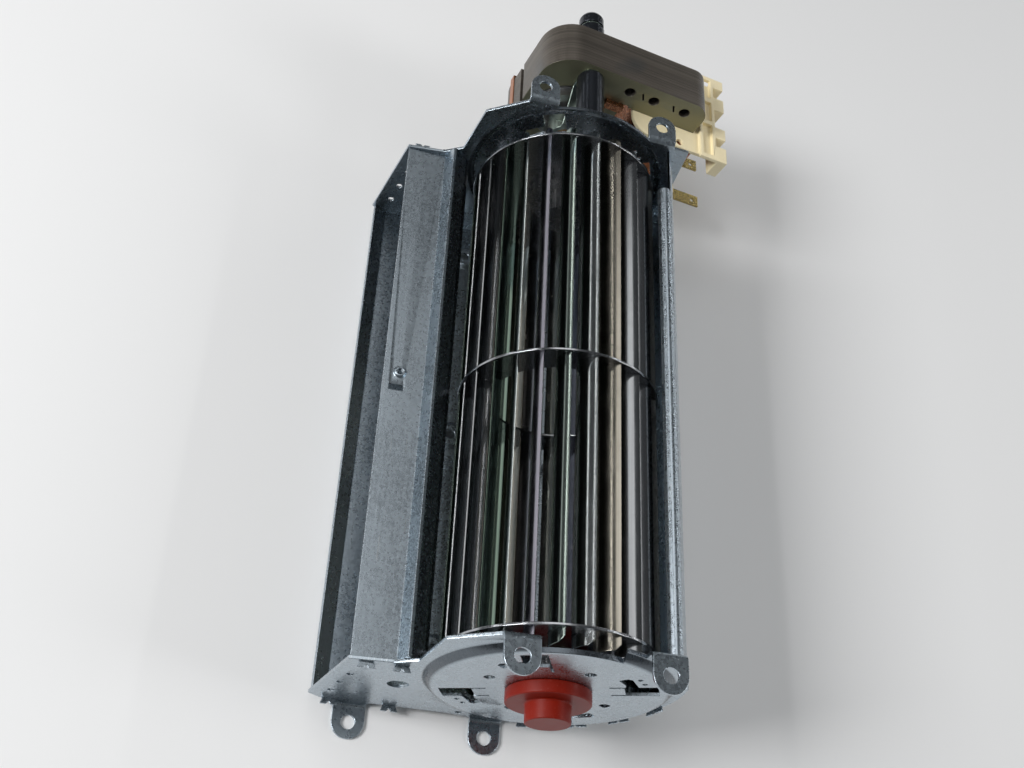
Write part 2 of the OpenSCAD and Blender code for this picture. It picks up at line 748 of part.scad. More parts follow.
// Outline of a former flange in (X, Y), rounded on the rotor side
module former_outline() {
    x0 = stack_x0 - former_over;
    x1 = stack_x1 + former_over;
    translate([x0, former_out]) square([x1 - x0, former_in - former_round - former_out]);
    translate([x0 + former_round, former_out])
        square([x1 - x0 - 2 * former_round, former_in - former_out]);
    for (x = [x0 + former_round, x1 - former_round]) translate([x, former_in - former_round])
        circle(r = former_round);
}

// Outline of the terminal comb in (X, Y), with its notches
module comb_outline() translate([stack_x0, 0]) difference() {
    translate([-comb_front, comb_out]) square([comb_front + stack_t + comb_rear, comb_in - comb_out]);
    for (n = comb_notches) translate([n[0], comb_out - over])
        square([n[1] - n[0], comb_notch_depth + over]);
}

module coil_bobbin() placed() motor_frame() color([0.93, 0.87, 0.68]) {
    difference() {
        union() {
            leg_block(tube_t, -coil_half, coil_half);
            for (side = [-1, 1]) mirror([0, 0, side < 0 ? 1 : 0])
                translate([0, 0, coil_half]) linear_extrude(flange_t) former_outline();
        }
        leg_block(0, -limb_in - over, limb_in + over);
        translate([stack_x0 - former_hole[0], former_hole[1], coil_half - over])
            cylinder(d = former_hole_d, h = flange_t + 2 * over);
    }
    translate([0, 0, limb_in - eps]) linear_extrude(comb_rise + eps) difference() {
        comb_outline();
        for (n = comb_pockets) translate([stack_x0 + n[0], comb_in - comb_back - comb_pocket])
            square([n[1] - n[0], comb_pocket]);
    }
    translate([0, 0, coil_half - comb_drop]) linear_extrude(comb_drop + flange_t) intersection() {
        comb_outline();
        translate([-big / 2, comb_out]) square([big, former_out - comb_out]);
    }
    translate([spade_x[0] - block_over, former_out, -limb_in - block_t])
        cube([spade_x[1] - spade_x[0] + 2 * block_over, spade_root, block_t]);
}

module coil_winding() placed() motor_frame() color([0.72, 0.42, 0.2]) difference() {
    translate([stack_x0 - coil_depth, leg_y0 - coil_depth, -coil_half]) linear_extrude(2 * coil_half)
        rounded(stack_t + 2 * coil_depth, leg_w + 2 * coil_depth, coil_round);
    leg_block(tube_t, -limb_in, limb_in);
}

// Rectangle with rounded corners
module rounded(w, l, r) {
    translate([r, 0]) square([w - 2 * r, l]);
    translate([0, r]) square([w, l - 2 * r]);
    for (x = [r, w - r], y = [r, l - r]) translate([x, y]) circle(r = r);
}

module shading_rings() placed() motor_frame() color([0.75, 0.42, 0.25])
    for (turn = [0, 180]) rotate([turn, 0, 0]) difference() {
        translate([stack_x0 - ring_bar, ring_y0, ring_z])
            cube([stack_t + 2 * ring_bar, ring_y1 - ring_y0, ring_high]);
        translate([stack_x0, ring_y0 + ring_bar, ring_z - over])
            cube([stack_t, ring_y1 - ring_y0 - 2 * ring_bar, ring_high + 2 * over]);
    }

module spade_terminals() placed() motor_frame() color([0.78, 0.6, 0.25])
    for (x = spade_x) translate([x, former_out, -limb_in - block_t - spade_t]) difference() {
        translate([-spade_w / 2, -spade_out, 0]) cube([spade_w, spade_out + spade_root, spade_t]);
        translate([0, spade_hole_in - spade_out, -over]) cylinder(d = spade_hole_d, h = spade_t + 2 * over);
    }

// Strap with a bearing cup, drawn for the front of the motor with its foot on x = 0
module bridge(cup_x, foot_x) {
    difference() {
        union() {
            for (side = [-1, 1]) mirror([0, 0, side < 0 ? 1 : 0]) {
                translate([foot_x, -strap_w / 2, arm_z]) cube([bridge_t, strap_w, screw_offset - arm_z]);
                at_yz(0, screw_offset) rod(foot_x, foot_x + bridge_t, strap_w);
                translate([0, strap_w / 2, 0]) rotate([90, 0, 0]) linear_extrude(strap_w)
                    polygon([[cup_x, 0], [cup_x + bridge_t, 0], [cup_x + bridge_t, cup_r],
                             [foot_x + bridge_t, arm_z], [foot_x, arm_z], [cup_x, cup_r]]);
            }
            rod(cup_x, cup_x + cup_depth, 2 * cup_r);
        }
        rod(cup_x - over, cup_x + cup_depth + over, bearing_d);
        for (side = [-1, 1]) at_yz(0, side * screw_offset)
            rod(foot_x - over, foot_x + bridge_t + over, screw_d + screw_fit);
    }
}

module front_bridge() placed() motor_frame() color([0.6, 0.66, 0.62])
    bridge(front_cup_x, stack_x0 - bridge_t);

module rear_bridge() placed() motor_frame() color([0.6, 0.66, 0.62])
    bridge(rear_cup_x, rear_strap_x);

// Sintered bearing, round outside with a running bore
module sintered_bearing(x0) difference() {
    rod(x0, x0 + bearing_l, bearing_d);
    rod(x0 - over, x0 + bearing_l + over, shaft_d + 2 * fit);
}

module front_bearing() placed() color([0.6, 0.45, 0.28]) sintered_bearing(front_cup_x + bearing_in);

module rear_bearing() placed() color([0.6, 0.45, 0.28]) sintered_bearing(rear_cup_x + bearing_in);

module bearing_retainers() placed() color([0.68, 0.7, 0.72])
    for (x = [front_cup_x, rear_cup_x]) translate([x + bearing_in + bearing_l, 0, 0]) difference() {
        rod(0, retainer_t, bearing_d - 2 * retainer_fit);
        rod(-over, retainer_t + over, shaft_d + retainer_bore_over);
    }

module spacer_posts() placed() motor_frame() color([0.16, 0.16, 0.17])
    for (side = [-1, 1]) at_yz(0, side * screw_offset) difference() {
        rod(floor_x, stack_x0 - bridge_t, post_d);
        rod(floor_x - over, stack_x0, screw_d + screw_fit);
    }

module rear_columns() placed() motor_frame() color([0.16, 0.16, 0.17])
    for (side = [-1, 1]) at_yz(0, side * screw_offset) difference() {
        rod(stack_x1, rear_strap_x, column_d);
        rod(stack_x1 - over, rear_strap_x + over, screw_d + screw_fit);
    }

module motor_screws() placed() motor_frame() color([0.75, 0.76, 0.78])
    for (side = [-1, 1]) at_yz(0, side * screw_offset) {
        translate([floor_x - plate_t - head_t, 0, 0]) rotate([0, 90, 0])
            cylinder(d = head_flats / cos(30), h = head_t, $fn = 6);
        rod(floor_x - plate_t, rear_strap_x + bridge_t + thread_out, screw_d);
    }

module domed_nuts() placed() motor_frame() color([0.12, 0.12, 0.13])
    for (side = [-1, 1]) at_yz(0, side * screw_offset) translate([rear_strap_x + bridge_t, 0, 0])
        turned() difference() {
            union() {
                square([nut_d / 2, nut_side]);
                intersection() {
                    translate([0, nut_side - nut_sink])
                        circle(r = sqrt(pow(nut_d / 2, 2) + nut_sink * nut_sink));
                    square([nut_d / 2, 3 * nut_d]);
                }
            }
            translate([0, -over]) square([screw_d / 2, over + thread_out]);
        }

bearing_side_plate();
motor_side_plate();
scroll_wall();
outlet_wall();
bearing_bush();
bush_sleeve();
stub_shaft();
end_disc_bearing();
middle_ring();
end_disc_motor();
impeller_blades();
wheel_hub();
hub_set_screw();
rotor_shaft();
rotor_core();
thrust_washers();
stator_stack();
coil_leg();
coil_bobbin();
coil_winding();
shading_rings();
spade_terminals();
front_bridge();
rear_bridge();
front_bearing();
rear_bearing();
bearing_retainers();
spacer_posts();
rear_columns();
motor_screws();
domed_nuts();
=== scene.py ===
"""Looks of a tangential cooling fan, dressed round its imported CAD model.

Every length is in metres in the model's own frame: +X along the wheel axis to the motor, +Y to the
air outlet, +Z up out of the air inlet, with the origin between the four foot holes.
"""

import logging
import math
from dataclasses import dataclass
from enum import Enum
from typing import Any, Callable, Sequence, Union

import bmesh
import bpy
from mathutils import Euler, Matrix, Vector


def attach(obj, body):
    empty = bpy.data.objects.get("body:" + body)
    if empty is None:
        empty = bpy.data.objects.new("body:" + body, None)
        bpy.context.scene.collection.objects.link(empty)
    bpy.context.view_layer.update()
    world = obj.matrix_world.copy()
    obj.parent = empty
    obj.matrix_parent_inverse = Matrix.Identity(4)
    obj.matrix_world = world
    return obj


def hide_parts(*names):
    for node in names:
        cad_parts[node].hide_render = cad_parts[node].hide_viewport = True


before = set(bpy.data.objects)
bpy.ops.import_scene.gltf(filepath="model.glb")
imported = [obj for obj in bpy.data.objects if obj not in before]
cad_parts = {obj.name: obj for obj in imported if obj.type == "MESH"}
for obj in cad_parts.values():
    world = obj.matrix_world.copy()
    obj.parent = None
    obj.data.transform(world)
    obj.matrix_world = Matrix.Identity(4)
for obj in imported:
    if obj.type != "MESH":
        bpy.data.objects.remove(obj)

LOG = logging.getLogger("cooling_fan")

Colour = tuple[float, float, float]
Triple = tuple[float, float, float]
Band = tuple[float, float]

MM = 0.001
EVEN: Triple = (1.0, 1.0, 1.0)

# The wheel axis, the side plates' flats on either side of the middle, and how the motor is turned.
AXIS = Vector((0.0, -27.4 * MM, 42.0 * MM))
PLATE_X = 89.0 * MM
MOTOR_TURN = Matrix.Rotation(math.radians(9.4), 4, "X")

# How close points and faces of a CAD mesh are merged, from which angle on an edge is broken, into
# how many cuts an edge across a dish's wall is split, and the faces of plain and round edges.
SAME_POINT = 0.001 * MM
SAME_PLANE = math.radians(0.4)
SHARP_EDGE = math.radians(28.0)
EXTRA_CUTS = 3
EDGE_STEPS = 2
ROUND_STEPS = 3

# The attribute that tells one blade from the next.
BLADE_TINT = "blade_tint"


class Slot(Enum):
    """The record's material slots that pieces take their finish from."""

    GALVANISED = "galvanised_steel"
    SILICONE = "red_silicone"
    SHAFT = "shaft_steel"
    WHEEL = "wheel_sheet"
    BLACK = "blackened_steel"
    LAMINATION = "lamination_steel"
    NYLON = "cream_plastic"
    COPPER = "copper_wire"
    BRASS = "terminal_brass"


class Body(Enum):
    """The bodies that pieces ride on."""

    HOUSING = "housing"
    ROTOR = "rotor"


class Wire:
    """One output of a node, with the arithmetic that shader and geometry maths need."""

    def __init__(self, tree: bpy.types.NodeTree, socket: bpy.types.NodeSocket) -> None:
        """Wraps a node's output socket of a tree."""
        self.tree = tree
        self.socket = socket

    def maths(self, operation: str, *values: "Operand") -> "Wire":
        """Adds one Math node.

        Args:
            operation: The node's operation.
            values: Its inputs in order.

        Returns:
            The node's output.
        """
        node = self.tree.nodes.new("ShaderNodeMath")
        node.operation = operation
        for place, value in zip(node.inputs, values):
            if isinstance(value, Wire):
                self.tree.links.new(value.socket, place)
            else:
                place.default_value = value
        return Wire(self.tree, node.outputs[0])

    def __add__(self, other: "Operand") -> "Wire":
        """Returns self + other."""
        return self.maths("ADD", self, other)

    __radd__ = __add__

    def __mul__(self, other: "Operand") -> "Wire":
        """Returns self * other."""
        return self.maths("MULTIPLY", self, other)

    __rmul__ = __mul__

    def __sub__(self, other: "Operand") -> "Wire":
        """Returns self - other."""
        return self.maths("SUBTRACT", self, other)

    def __rsub__(self, other: "Operand") -> "Wire":
        """Returns other - self."""
        return self.maths("SUBTRACT", other, self)

    def __truediv__(self, other: "Operand") -> "Wire":
        """Returns self / other."""
        return self.maths("DIVIDE", self, other)

    def __pow__(self, other: "Operand") -> "Wire":
        """Returns self raised to other."""
        return self.maths("POWER", self, other)

    def __gt__(self, other: "Operand") -> "Wire":
        """Returns 1 where self is greater than other, and 0 elsewhere."""
        return self.maths("GREATER_THAN", self, other)

    def absolute(self) -> "Wire":
        """Returns self without its sign."""
        return self.maths("ABSOLUTE", self)

    def floor(self) -> "Wire":
        """Returns the whole number below self."""
        return self.maths("FLOOR", self)

    def sine(self) -> "Wire":
        """Returns the sine of self, in radians."""
        return self.maths("SINE", self)

    def cosine(self) -> "Wire":
        """Returns the cosine of self, in radians."""
        return self.maths("COSINE", self)

    def arcsine(self) -> "Wire":
        """Returns the angle whose sine is self, in radians."""
        return self.maths("ARCSINE", self)

    def zigzag(self, top: float) -> "Wire":
        """Returns self folded to run up and down between 0 and top."""
        return self.maths("PINGPONG", self, top)

    def clamped(self) -> "Wire":
        """Returns self held between 0 and 1."""
        return self.maths("MINIMUM", self.maths("MAXIMUM", self, 0.0), 1.0)

    def between(self, low: float, high: float) -> "Wire":
        """Returns how far self is from low to high, held between 0 and 1."""
        return ((self - low) / (high - low)).clamped()

    def swing(self, reach: float) -> "Wire":
        """Returns a number from 0 to 1 as one that swings round zero, with this reach in all."""
        return (self - 0.5) * reach


Operand = Union[Wire, float]
Input = Union[Wire, float, str, Sequence[float], bpy.types.Material]


@dataclass(frozen=True)
class Layer:
    """One layer of grain in a finish.

    Attributes:
        scale: Grains per metre.
        share: How much it counts in the colour.
        gloss: How far it swings the roughness.
        stretch: Factor along each axis.
        detail: Octaves of noise.
    """

    scale: float
    share: float = 0.0
    gloss: float = 0.0
    stretch: Triple = EVEN
    detail: float = 3.0


class Graph:
    """A node tree that is being put together."""

    prefix = ""

    def __init__(self, tree: bpy.types.NodeTree) -> None:
        """Wraps a node tree."""
        self.tree = tree

    def feed(self, socket: bpy.types.NodeSocket, value: Input) -> None:
        """Links or sets one socket.

        Args:
            socket: An input of a node.
            value: What goes into it.
        """
        if isinstance(value, Wire):
            self.tree.links.new(value.socket, socket)
        else:
            socket.default_value = value

    def node(self, kind: str, settings: dict[str, Any] | None = None, output: int | str = 0,
             **values: Input) -> Wire:
        """Adds one node.

        Args:
            kind: The node's type, without the tree's prefix where it has that.
            settings: Attributes that are set before the sockets.
            output: The output that is returned.
            values: Numbers or links of the sockets, by name, with spaces as underscores.

        Returns:
            The chosen output.
        """
        node = self.tree.nodes.new(kind if "Node" in kind else self.prefix + kind)
        for name, value in (settings or {}).items():
            setattr(node, name, value)
        for name, value in values.items():
            self.feed(node.inputs[name.replace("_", " ")], value)
        return Wire(self.tree, node.outputs[output])


class Recipe(Graph):
    """A material that is being put together from nodes."""

    prefix = "ShaderNode"
    noise_roughness = 0.55
    wave_strength = 0.5
    mark_depth = 0.02 * MM
    mark_strength = 0.4

    def __init__(self, name: str) -> None:
        """Starts an empty material with a Principled shader.

        Args:
            name: The material's name.
        """
        self.material = bpy.data.materials.new(name)
        self.material.use_nodes = True
        super().__init__(self.material.node_tree)
        self.shader = self.tree.nodes["Principled BSDF"]

    def along(self, axis: str) -> Wire:
        """Returns the object coordinate along one axis."""
        return self.node("SeparateXYZ", output=axis, Vector=self.node("TexCoord", output="Object"))

    def facing(self) -> Wire:
        """Returns how squarely the surface faces along X, from 0 to 1."""
        normal = self.node("NewGeometry", output="Normal")
        return self.node("SeparateXYZ", output="X", Vector=normal).absolute()

    def place(self, stretch: Triple, turn: float = 0.0) -> Wire:
        """Object coordinates, turned and scaled.

        Args:
            stretch: Factor along each axis.
            turn: Turn about Z, in radians.

        Returns:
            The coordinates.
        """
        here = self.node("TexCoord", output="Object")
        return self.node("Mapping", Vector=here, Scale=stretch, Rotation=(0.0, 0.0, turn))

    def noise(self, layer: Layer, turn: float = 0.0) -> Wire:
        """Noise between 0 and 1.

        Args:
            layer: Its grain.
            turn: Turn of the pattern about Z, in radians.

        Returns:
            The noise value.
        """
        return self.node("TexNoise", Vector=self.place(layer.stretch, turn), Scale=layer.scale,
                         Detail=layer.detail, Roughness=self.noise_roughness)

    def cells(self, layer: Layer) -> Wire:
        """Cells that each have a random number.

        Args:
            layer: Their grain.

        Returns:
            The cell's number, between 0 and 1.
        """
        cell = self.node("TexVoronoi", output="Color", Vector=self.place(layer.stretch),
                         Scale=layer.scale)
        return self.node("SeparateColor", output="Red", Color=cell)

    def blend(self, share: Operand, first: Wire | Colour, second: Wire | Colour) -> Wire:
        """Mixes two colours.

        Args:
            share: Share of the second colour.
            first: First colour.
            second: Second colour.

        Returns:
            The mixed colour.
        """
        node = self.tree.nodes.new("ShaderNodeMix")
        node.data_type = "RGBA"
        # A Mix node keeps its colours in sockets 6 and 7 and gives their mix in output 2.
        self.feed(node.inputs[0], share)
        for place, value in ((node.inputs[6], first), (node.inputs[7], second)):
            self.feed(place, value if isinstance(value, Wire) else (*value, 1))
        return Wire(self.tree, node.outputs[2])

    def tones(self, share: Wire, colour: Colour, factors: Band) -> Wire:
        """Runs from a darker to a lighter tone of one colour.

        Args:
            share: Share of the lighter tone.
            colour: The colour.
            factors: Factors of the darker and the lighter tone.

        Returns:
            The tone.
        """
        darker, lighter = (shaded(colour, factor) for factor in factors)
        return self.blend(share, darker, lighter)

    def bump(self, height: Wire, depth: float, strength: float, normal: Wire | None = None) -> Wire:
        """Bumps a surface.

        Args:
            height: Height from 0 to 1.
            depth: Depth of a full step.
            strength: Share of the bump that shows.
            normal: A bump that lies under this one.

        Returns:
            The normal.
        """
        under = {"Normal": normal} if normal else {}
        return self.node("Bump", Height=height, Distance=depth, Strength=strength, **under)

    def waves(self, layer: Layer, depth: float) -> Wire:
        """Returns the normal of sheet that is a little wavy."""
        return self.bump(self.noise(layer), depth, self.wave_strength)

    def marked(self, marks: Wire, normal: Wire | None = None) -> Wire:
        """Returns the normal of metal with fine marks, over a coarser one if it has that."""
        return self.bump(marks, self.mark_depth, self.mark_strength, normal)

    def finish(self, **values: Input) -> bpy.types.Material:
        """Feeds the shader and returns the material.

        Args:
            values: Sockets of the shader by name, with spaces as underscores.

        Returns:
            The material.
        """
        for name, value in values.items():
            if name == "Base_Color" and not isinstance(value, Wire):
                value = (*value, 1)
            self.feed(self.shader.inputs[name.replace("_", " ")], value)
        return self.material


class Growth(Graph):
    """A Geometry Nodes tree that is being put together."""

    prefix = "GeometryNode"

    def __init__(self, name: str) -> None:
        """Starts an empty tree with a geometry output.

        Args:
            name: The tree's name.
        """
        super().__init__(bpy.data.node_groups.new(name, "GeometryNodeTree"))
        self.name = name
        self.tree.interface.new_socket("Geometry", in_out="OUTPUT",
                                       socket_type="NodeSocketGeometry")
        self.start = self.tree.nodes.new("NodeGroupInput")
        self.end = self.tree.nodes.new("NodeGroupOutput")
        self.sizes: dict[str, float] = {}

    def size(self, name: str, value: float) -> Wire:
        """Adds a named input.

        Args:
            name: The input's name.
            value: What this object uses.

        Returns:
            The input, to be linked.
        """
        kind = "NodeSocketInt" if isinstance(value, int) else "NodeSocketFloat"
        socket = self.tree.interface.new_socket(name, in_out="INPUT", socket_type=kind)
        self.sizes[socket.identifier] = value
        # The newest input comes before the node's empty last socket.
        return Wire(self.tree, self.start.outputs[-2])

    def vector(self, x: Operand, y: Operand, z: Operand) -> Wire:
        """Returns a vector of three numbers."""
        return self.node("ShaderNodeCombineXYZ", X=x, Y=y, Z=z)

    def spread(self, seed: Wire, reach: Operand, salt: int = 0) -> Wire:
        """Random number for each point.

        Args:
            seed: The tree's seed.
            reach: Largest distance from zero.
            salt: Tells one random number from the next.

        Returns:
            A number between -reach and reach.
        """
        node = self.tree.nodes.new("FunctionNodeRandomValue")
        node.data_type = "FLOAT"
        # Sockets 2 and 3 are the limits of the node's plain numbers, and output 1 is the number.
        self.feed(node.inputs[2], -1.0 * reach)
        self.feed(node.inputs[3], reach)
        self.feed(node.inputs["Seed"], seed + float(salt))
        return Wire(self.tree, node.outputs[1])

    def mesh(self, shape: Wire, material: bpy.types.Material) -> bpy.types.Mesh:
        """Bakes the tree into a plain mesh with smooth faces.

        Args:
            shape: The tree's instances.
            material: What they are made of.

        Returns:
            The mesh.
        """
        real = self.node("RealizeInstances", Geometry=shape)
        smooth = self.node("SetShadeSmooth", Geometry=real)
        dressed = self.node("SetMaterial", Geometry=smooth, Material=material)
        self.feed(self.end.inputs[0], dressed)
        carrier = added(self.name, bpy.data.meshes.new(self.name))
        growing = carrier.modifiers.new("growth", "NODES")
        growing.node_group = self.tree
        for identifier, value in self.sizes.items():
            growing[identifier] = value
        return baked(carrier)


def shaded(colour: Colour, factor: float) -> Colour:
    """Returns a colour made lighter or darker by a factor."""
    return tuple(min(1.0, part * factor) for part in colour)


@dataclass(frozen=True)
class Scratches:
    """Fine straight scratches in one direction of the X-Y plane, broken into short ones.

    Attributes:
        scale: Scratches per metre across their run.
        turn: Direction of the run, in radians.
        width: Share of the surface that is scratched.
        edge: Where the noise turns into a scratch.
        run: Factor along each axis that draws noise out into lines.
        breaks: Noise that breaks the scratches.
        gap: Where that noise lets a scratch through.
    """

    scale: float
    turn: float
    width: float
    edge: Band = (0.70, 0.74)
    run: Triple = (0.03, 1.0, 1.0)
    breaks: Layer = Layer(70, detail=2)
    gap: Band = (0.5, 0.62)

    def mask(self, recipe: Recipe) -> Wire:
        """Finds the scratches.

        Args:
            recipe: The material.

        Returns:
            1 on a scratch and 0 beside it.
        """
        low, high = self.edge
        lines = recipe.noise(Layer(self.scale, stretch=self.run, detail=1), self.turn)
        breaks = recipe.noise(self.breaks)
        return lines.between(low - self.width, high - self.width) * breaks.between(*self.gap)


@dataclass(frozen=True)
class GalvanisedSheet:
    """Zinc-coated sheet with a frosted grain, rolling lines, bright specks and short scratches.

    Shade is painted on the sloping wall of each drawn dish: between two radii of the axis, and on
    faces that slope more than a set limit, the colour is darkened towards near black.
    """

    name: str = "galvanised_sheet"
    colour: Colour = (0.43, 0.49, 0.54)
    bright: Colour = (0.62, 0.66, 0.68)
    # Painted shade: the near-black colour that the dish walls are darkened towards.
    painted_wall_shade: Colour = (0.03, 0.035, 0.045)
    tones: Band = (0.85, 1.15)
    tone_range: Band = (0.25, 0.75)
    roughness: float = 0.29
    frost: Layer = Layer(1500, share=0.22, gloss=0.08)
    patch: Layer = Layer(260, share=0.10, stretch=(0.5, 1.0, 1.0))
    fine: Layer = Layer(3200, share=0.26, detail=2)
    cloud: Layer = Layer(22, share=0.26, gloss=0.16)
    rolled: Layer = Layer(900, share=0.16, stretch=(0.02, 1.0, 1.0), detail=2)
    specks: Layer = Layer(1400, share=0.35, detail=1)
    speck_range: Band = (0.70, 0.76)
    scratches: tuple[Scratches, Scratches] = (Scratches(1700, turn=0.5, width=0.02),
                                              Scratches(1500, turn=-0.9, width=0.01))
    scratch_share: float = 0.6
    mark_gloss: float = 0.08
    waves: Layer = Layer(30, detail=1)
    wave_depth: float = 0.2 * MM
    dent_depth: float = 0.035 * MM
    dent_strength: float = 0.45
    painted_shade_band: Band = (31.0 * MM, 34.5 * MM)
    painted_shade_slope: Band = (0.88, 0.985)
    painted_shade_share: float = 0.75

    def material(self) -> bpy.types.Material:
        """Puts the finish together.

        Returns:
            The material.
        """
        recipe = Recipe(self.name)
        frost, patch = recipe.cells(self.frost), recipe.cells(self.patch)
        fine, cloud, rolled = (recipe.noise(each) for each in (self.fine, self.cloud, self.rolled))
        share = (frost * self.frost.share + fine * self.fine.share + cloud * self.cloud.share
                 + rolled * self.rolled.share + patch * self.patch.share).clamped()
        colour = recipe.tones(share.between(*self.tone_range), self.colour, self.tones)
        marks = self._marks(recipe)
        colour = recipe.blend(marks, colour, self.bright)
        # Painted shade on the drawn walls of the dishes.
        colour = recipe.blend(self._painted_shade_mask(recipe) * self.painted_shade_share, colour, self.painted_wall_shade)
        rough = (self.roughness + cloud.swing(self.cloud.gloss) + frost.swing(self.frost.gloss)
                 - marks * self.mark_gloss)
        dents = recipe.bump(fine * 0.5 + rolled * 0.5, self.dent_depth, self.dent_strength,
                            recipe.waves(self.waves, self.wave_depth))
        return recipe.finish(Base_Color=colour, Roughness=rough, Metallic=1.0, Normal=dents)

    def _marks(self, recipe: Recipe) -> Wire:
        """Finds the bright specks and the scratches.

        Args:
            recipe: The material.

        Returns:
            How strong a mark is, from 0 to 1.
        """
        specks = recipe.noise(self.specks).between(*self.speck_range)
        first, second = (each.mask(recipe) for each in self.scratches)
        scratched = (first + second).clamped()
        return (specks * self.specks.share + scratched * self.scratch_share).clamped()

    def _painted_shade_mask(self, recipe: Recipe) -> Wire:
        """Finds the sloping wall of the drawn dishes, where shade is painted.

        Args:
            recipe: The material.

        Returns:
            1 on the wall and 0 elsewhere.
        """
        across, up = recipe.along("Y") - AXIS.y, recipe.along("Z") - AXIS.z
        radius = (across * across + up * up) ** 0.5
        low, high = self.painted_shade_band
        flat = recipe.facing().between(*self.painted_shade_slope)
        return (radius > low) * (1 - (radius > high)) * (1 - flat)


@dataclass(frozen=True)
class RolledSheet:
    """Bright rolled sheet of the wheel, with rolling lines along its axis and smears between."""

    name: str = "rolled_sheet"
    colour: Colour = (0.40, 0.41, 0.43)
    tones: Band = (0.72, 1.2)
    tone_range: Band = (0.3, 0.7)
    roughness: float = 0.17
    streak: Layer = Layer(1100, share=0.6, gloss=0.10, stretch=(0.012, 1.0, 1.0))
    smear: Layer = Layer(34, share=0.4, gloss=0.10, stretch=(0.6, 1.0, 1.0), detail=4)
    smear_range: Band = (0.5, 0.75)
    waves: Layer = Layer(45, stretch=(0.35, 1.0, 1.0), detail=1)
    wave_depth: float = 0.3 * MM

    def material(self) -> bpy.types.Material:
        """Puts the finish together.

        Returns:
            The material.
        """
        recipe = Recipe(self.name)
        streak, smear = recipe.noise(self.streak), recipe.noise(self.smear)
        share = streak * self.streak.share + smear * self.smear.share
        colour = recipe.tones(share.between(*self.tone_range), self.colour, self.tones)
        rough = (self.roughness + streak.swing(self.streak.gloss)
                 + smear.between(*self.smear_range) * self.smear.gloss)
        lines = recipe.marked(streak, recipe.waves(self.waves, self.wave_depth))
        return recipe.finish(Base_Color=colour, Roughness=rough, Metallic=1.0, Normal=lines)


@dataclass(frozen=True)
class BladeSheet:
    """The same rolled sheet on the blades, where each blade has its own tint and gloss.

    A blade's own number, from 0 to 1, takes it from green over grey and violet to straw. These
    tints
    are painted reflection: they stand in for the different light that each blade reflects. Each
    band of changes is where one tint gives way to the next. Over the band of fingered, the number
    takes a blade from clean to dull with finger marks.
    """

    name: str = "blade_sheet"
    green: Colour = (0.27, 0.36, 0.29)
    grey: Colour = (0.36, 0.37, 0.38)
    violet: Colour = (0.35, 0.33, 0.40)
    straw: Colour = (0.41, 0.38, 0.32)
    black: Colour = (0.0, 0.0, 0.0)
    changes: tuple[Band, Band, Band] = ((0.1, 0.4), (0.5, 0.7), (0.8, 0.95))
    tone_range: Band = (0.3, 0.7)
    darkest: float = 0.32
    roughness: float = 0.13
    own_gloss: float = 0.06
    streak: Layer = Layer(1100, share=0.55, gloss=0.08, stretch=(0.012, 1.0, 1.0))
    smear: Layer = Layer(26, share=0.45, stretch=(0.5, 1.0, 1.0), detail=4)
    finger: Layer = Layer(120, gloss=0.16, stretch=(0.8, 1.0, 1.0))
    finger_range: Band = (0.45, 0.9)
    fingered: Band = (0.2, 0.6)
    waves: Layer = Layer(38, stretch=(0.3, 1.0, 1.0), detail=1)
    wave_depth: float = 0.4 * MM

    def material(self) -> bpy.types.Material:
        """Puts the finish together.

        Returns:
            The material.
        """
        recipe = Recipe(self.name)
        own = recipe.node("Attribute", {"attribute_name": BLADE_TINT}, output="Fac")
        streak, smear = recipe.noise(self.streak), recipe.noise(self.smear)
        finger = recipe.noise(self.finger)
        # Painted reflection: each blade's own tint stands in for the light that it reflects.
        tint: Wire | Colour = self.green
        for band, after in zip(self.changes, (self.grey, self.violet, self.straw)):
            tint = recipe.blend(own.between(*band), tint, after)
        share = (streak * self.streak.share + smear * self.smear.share).between(*self.tone_range)
        colour = recipe.blend(share, recipe.blend(self.darkest, tint, self.black), tint)
        dull = finger.between(*self.finger_range) * own.between(*self.fingered)
        rough = (self.roughness + streak.swing(self.streak.gloss) + dull * self.finger.gloss
                 + own * self.own_gloss)
        lines = recipe.marked(streak, recipe.waves(self.waves, self.wave_depth))
        return recipe.finish(Base_Color=colour, Roughness=rough, Metallic=1.0, Normal=lines)


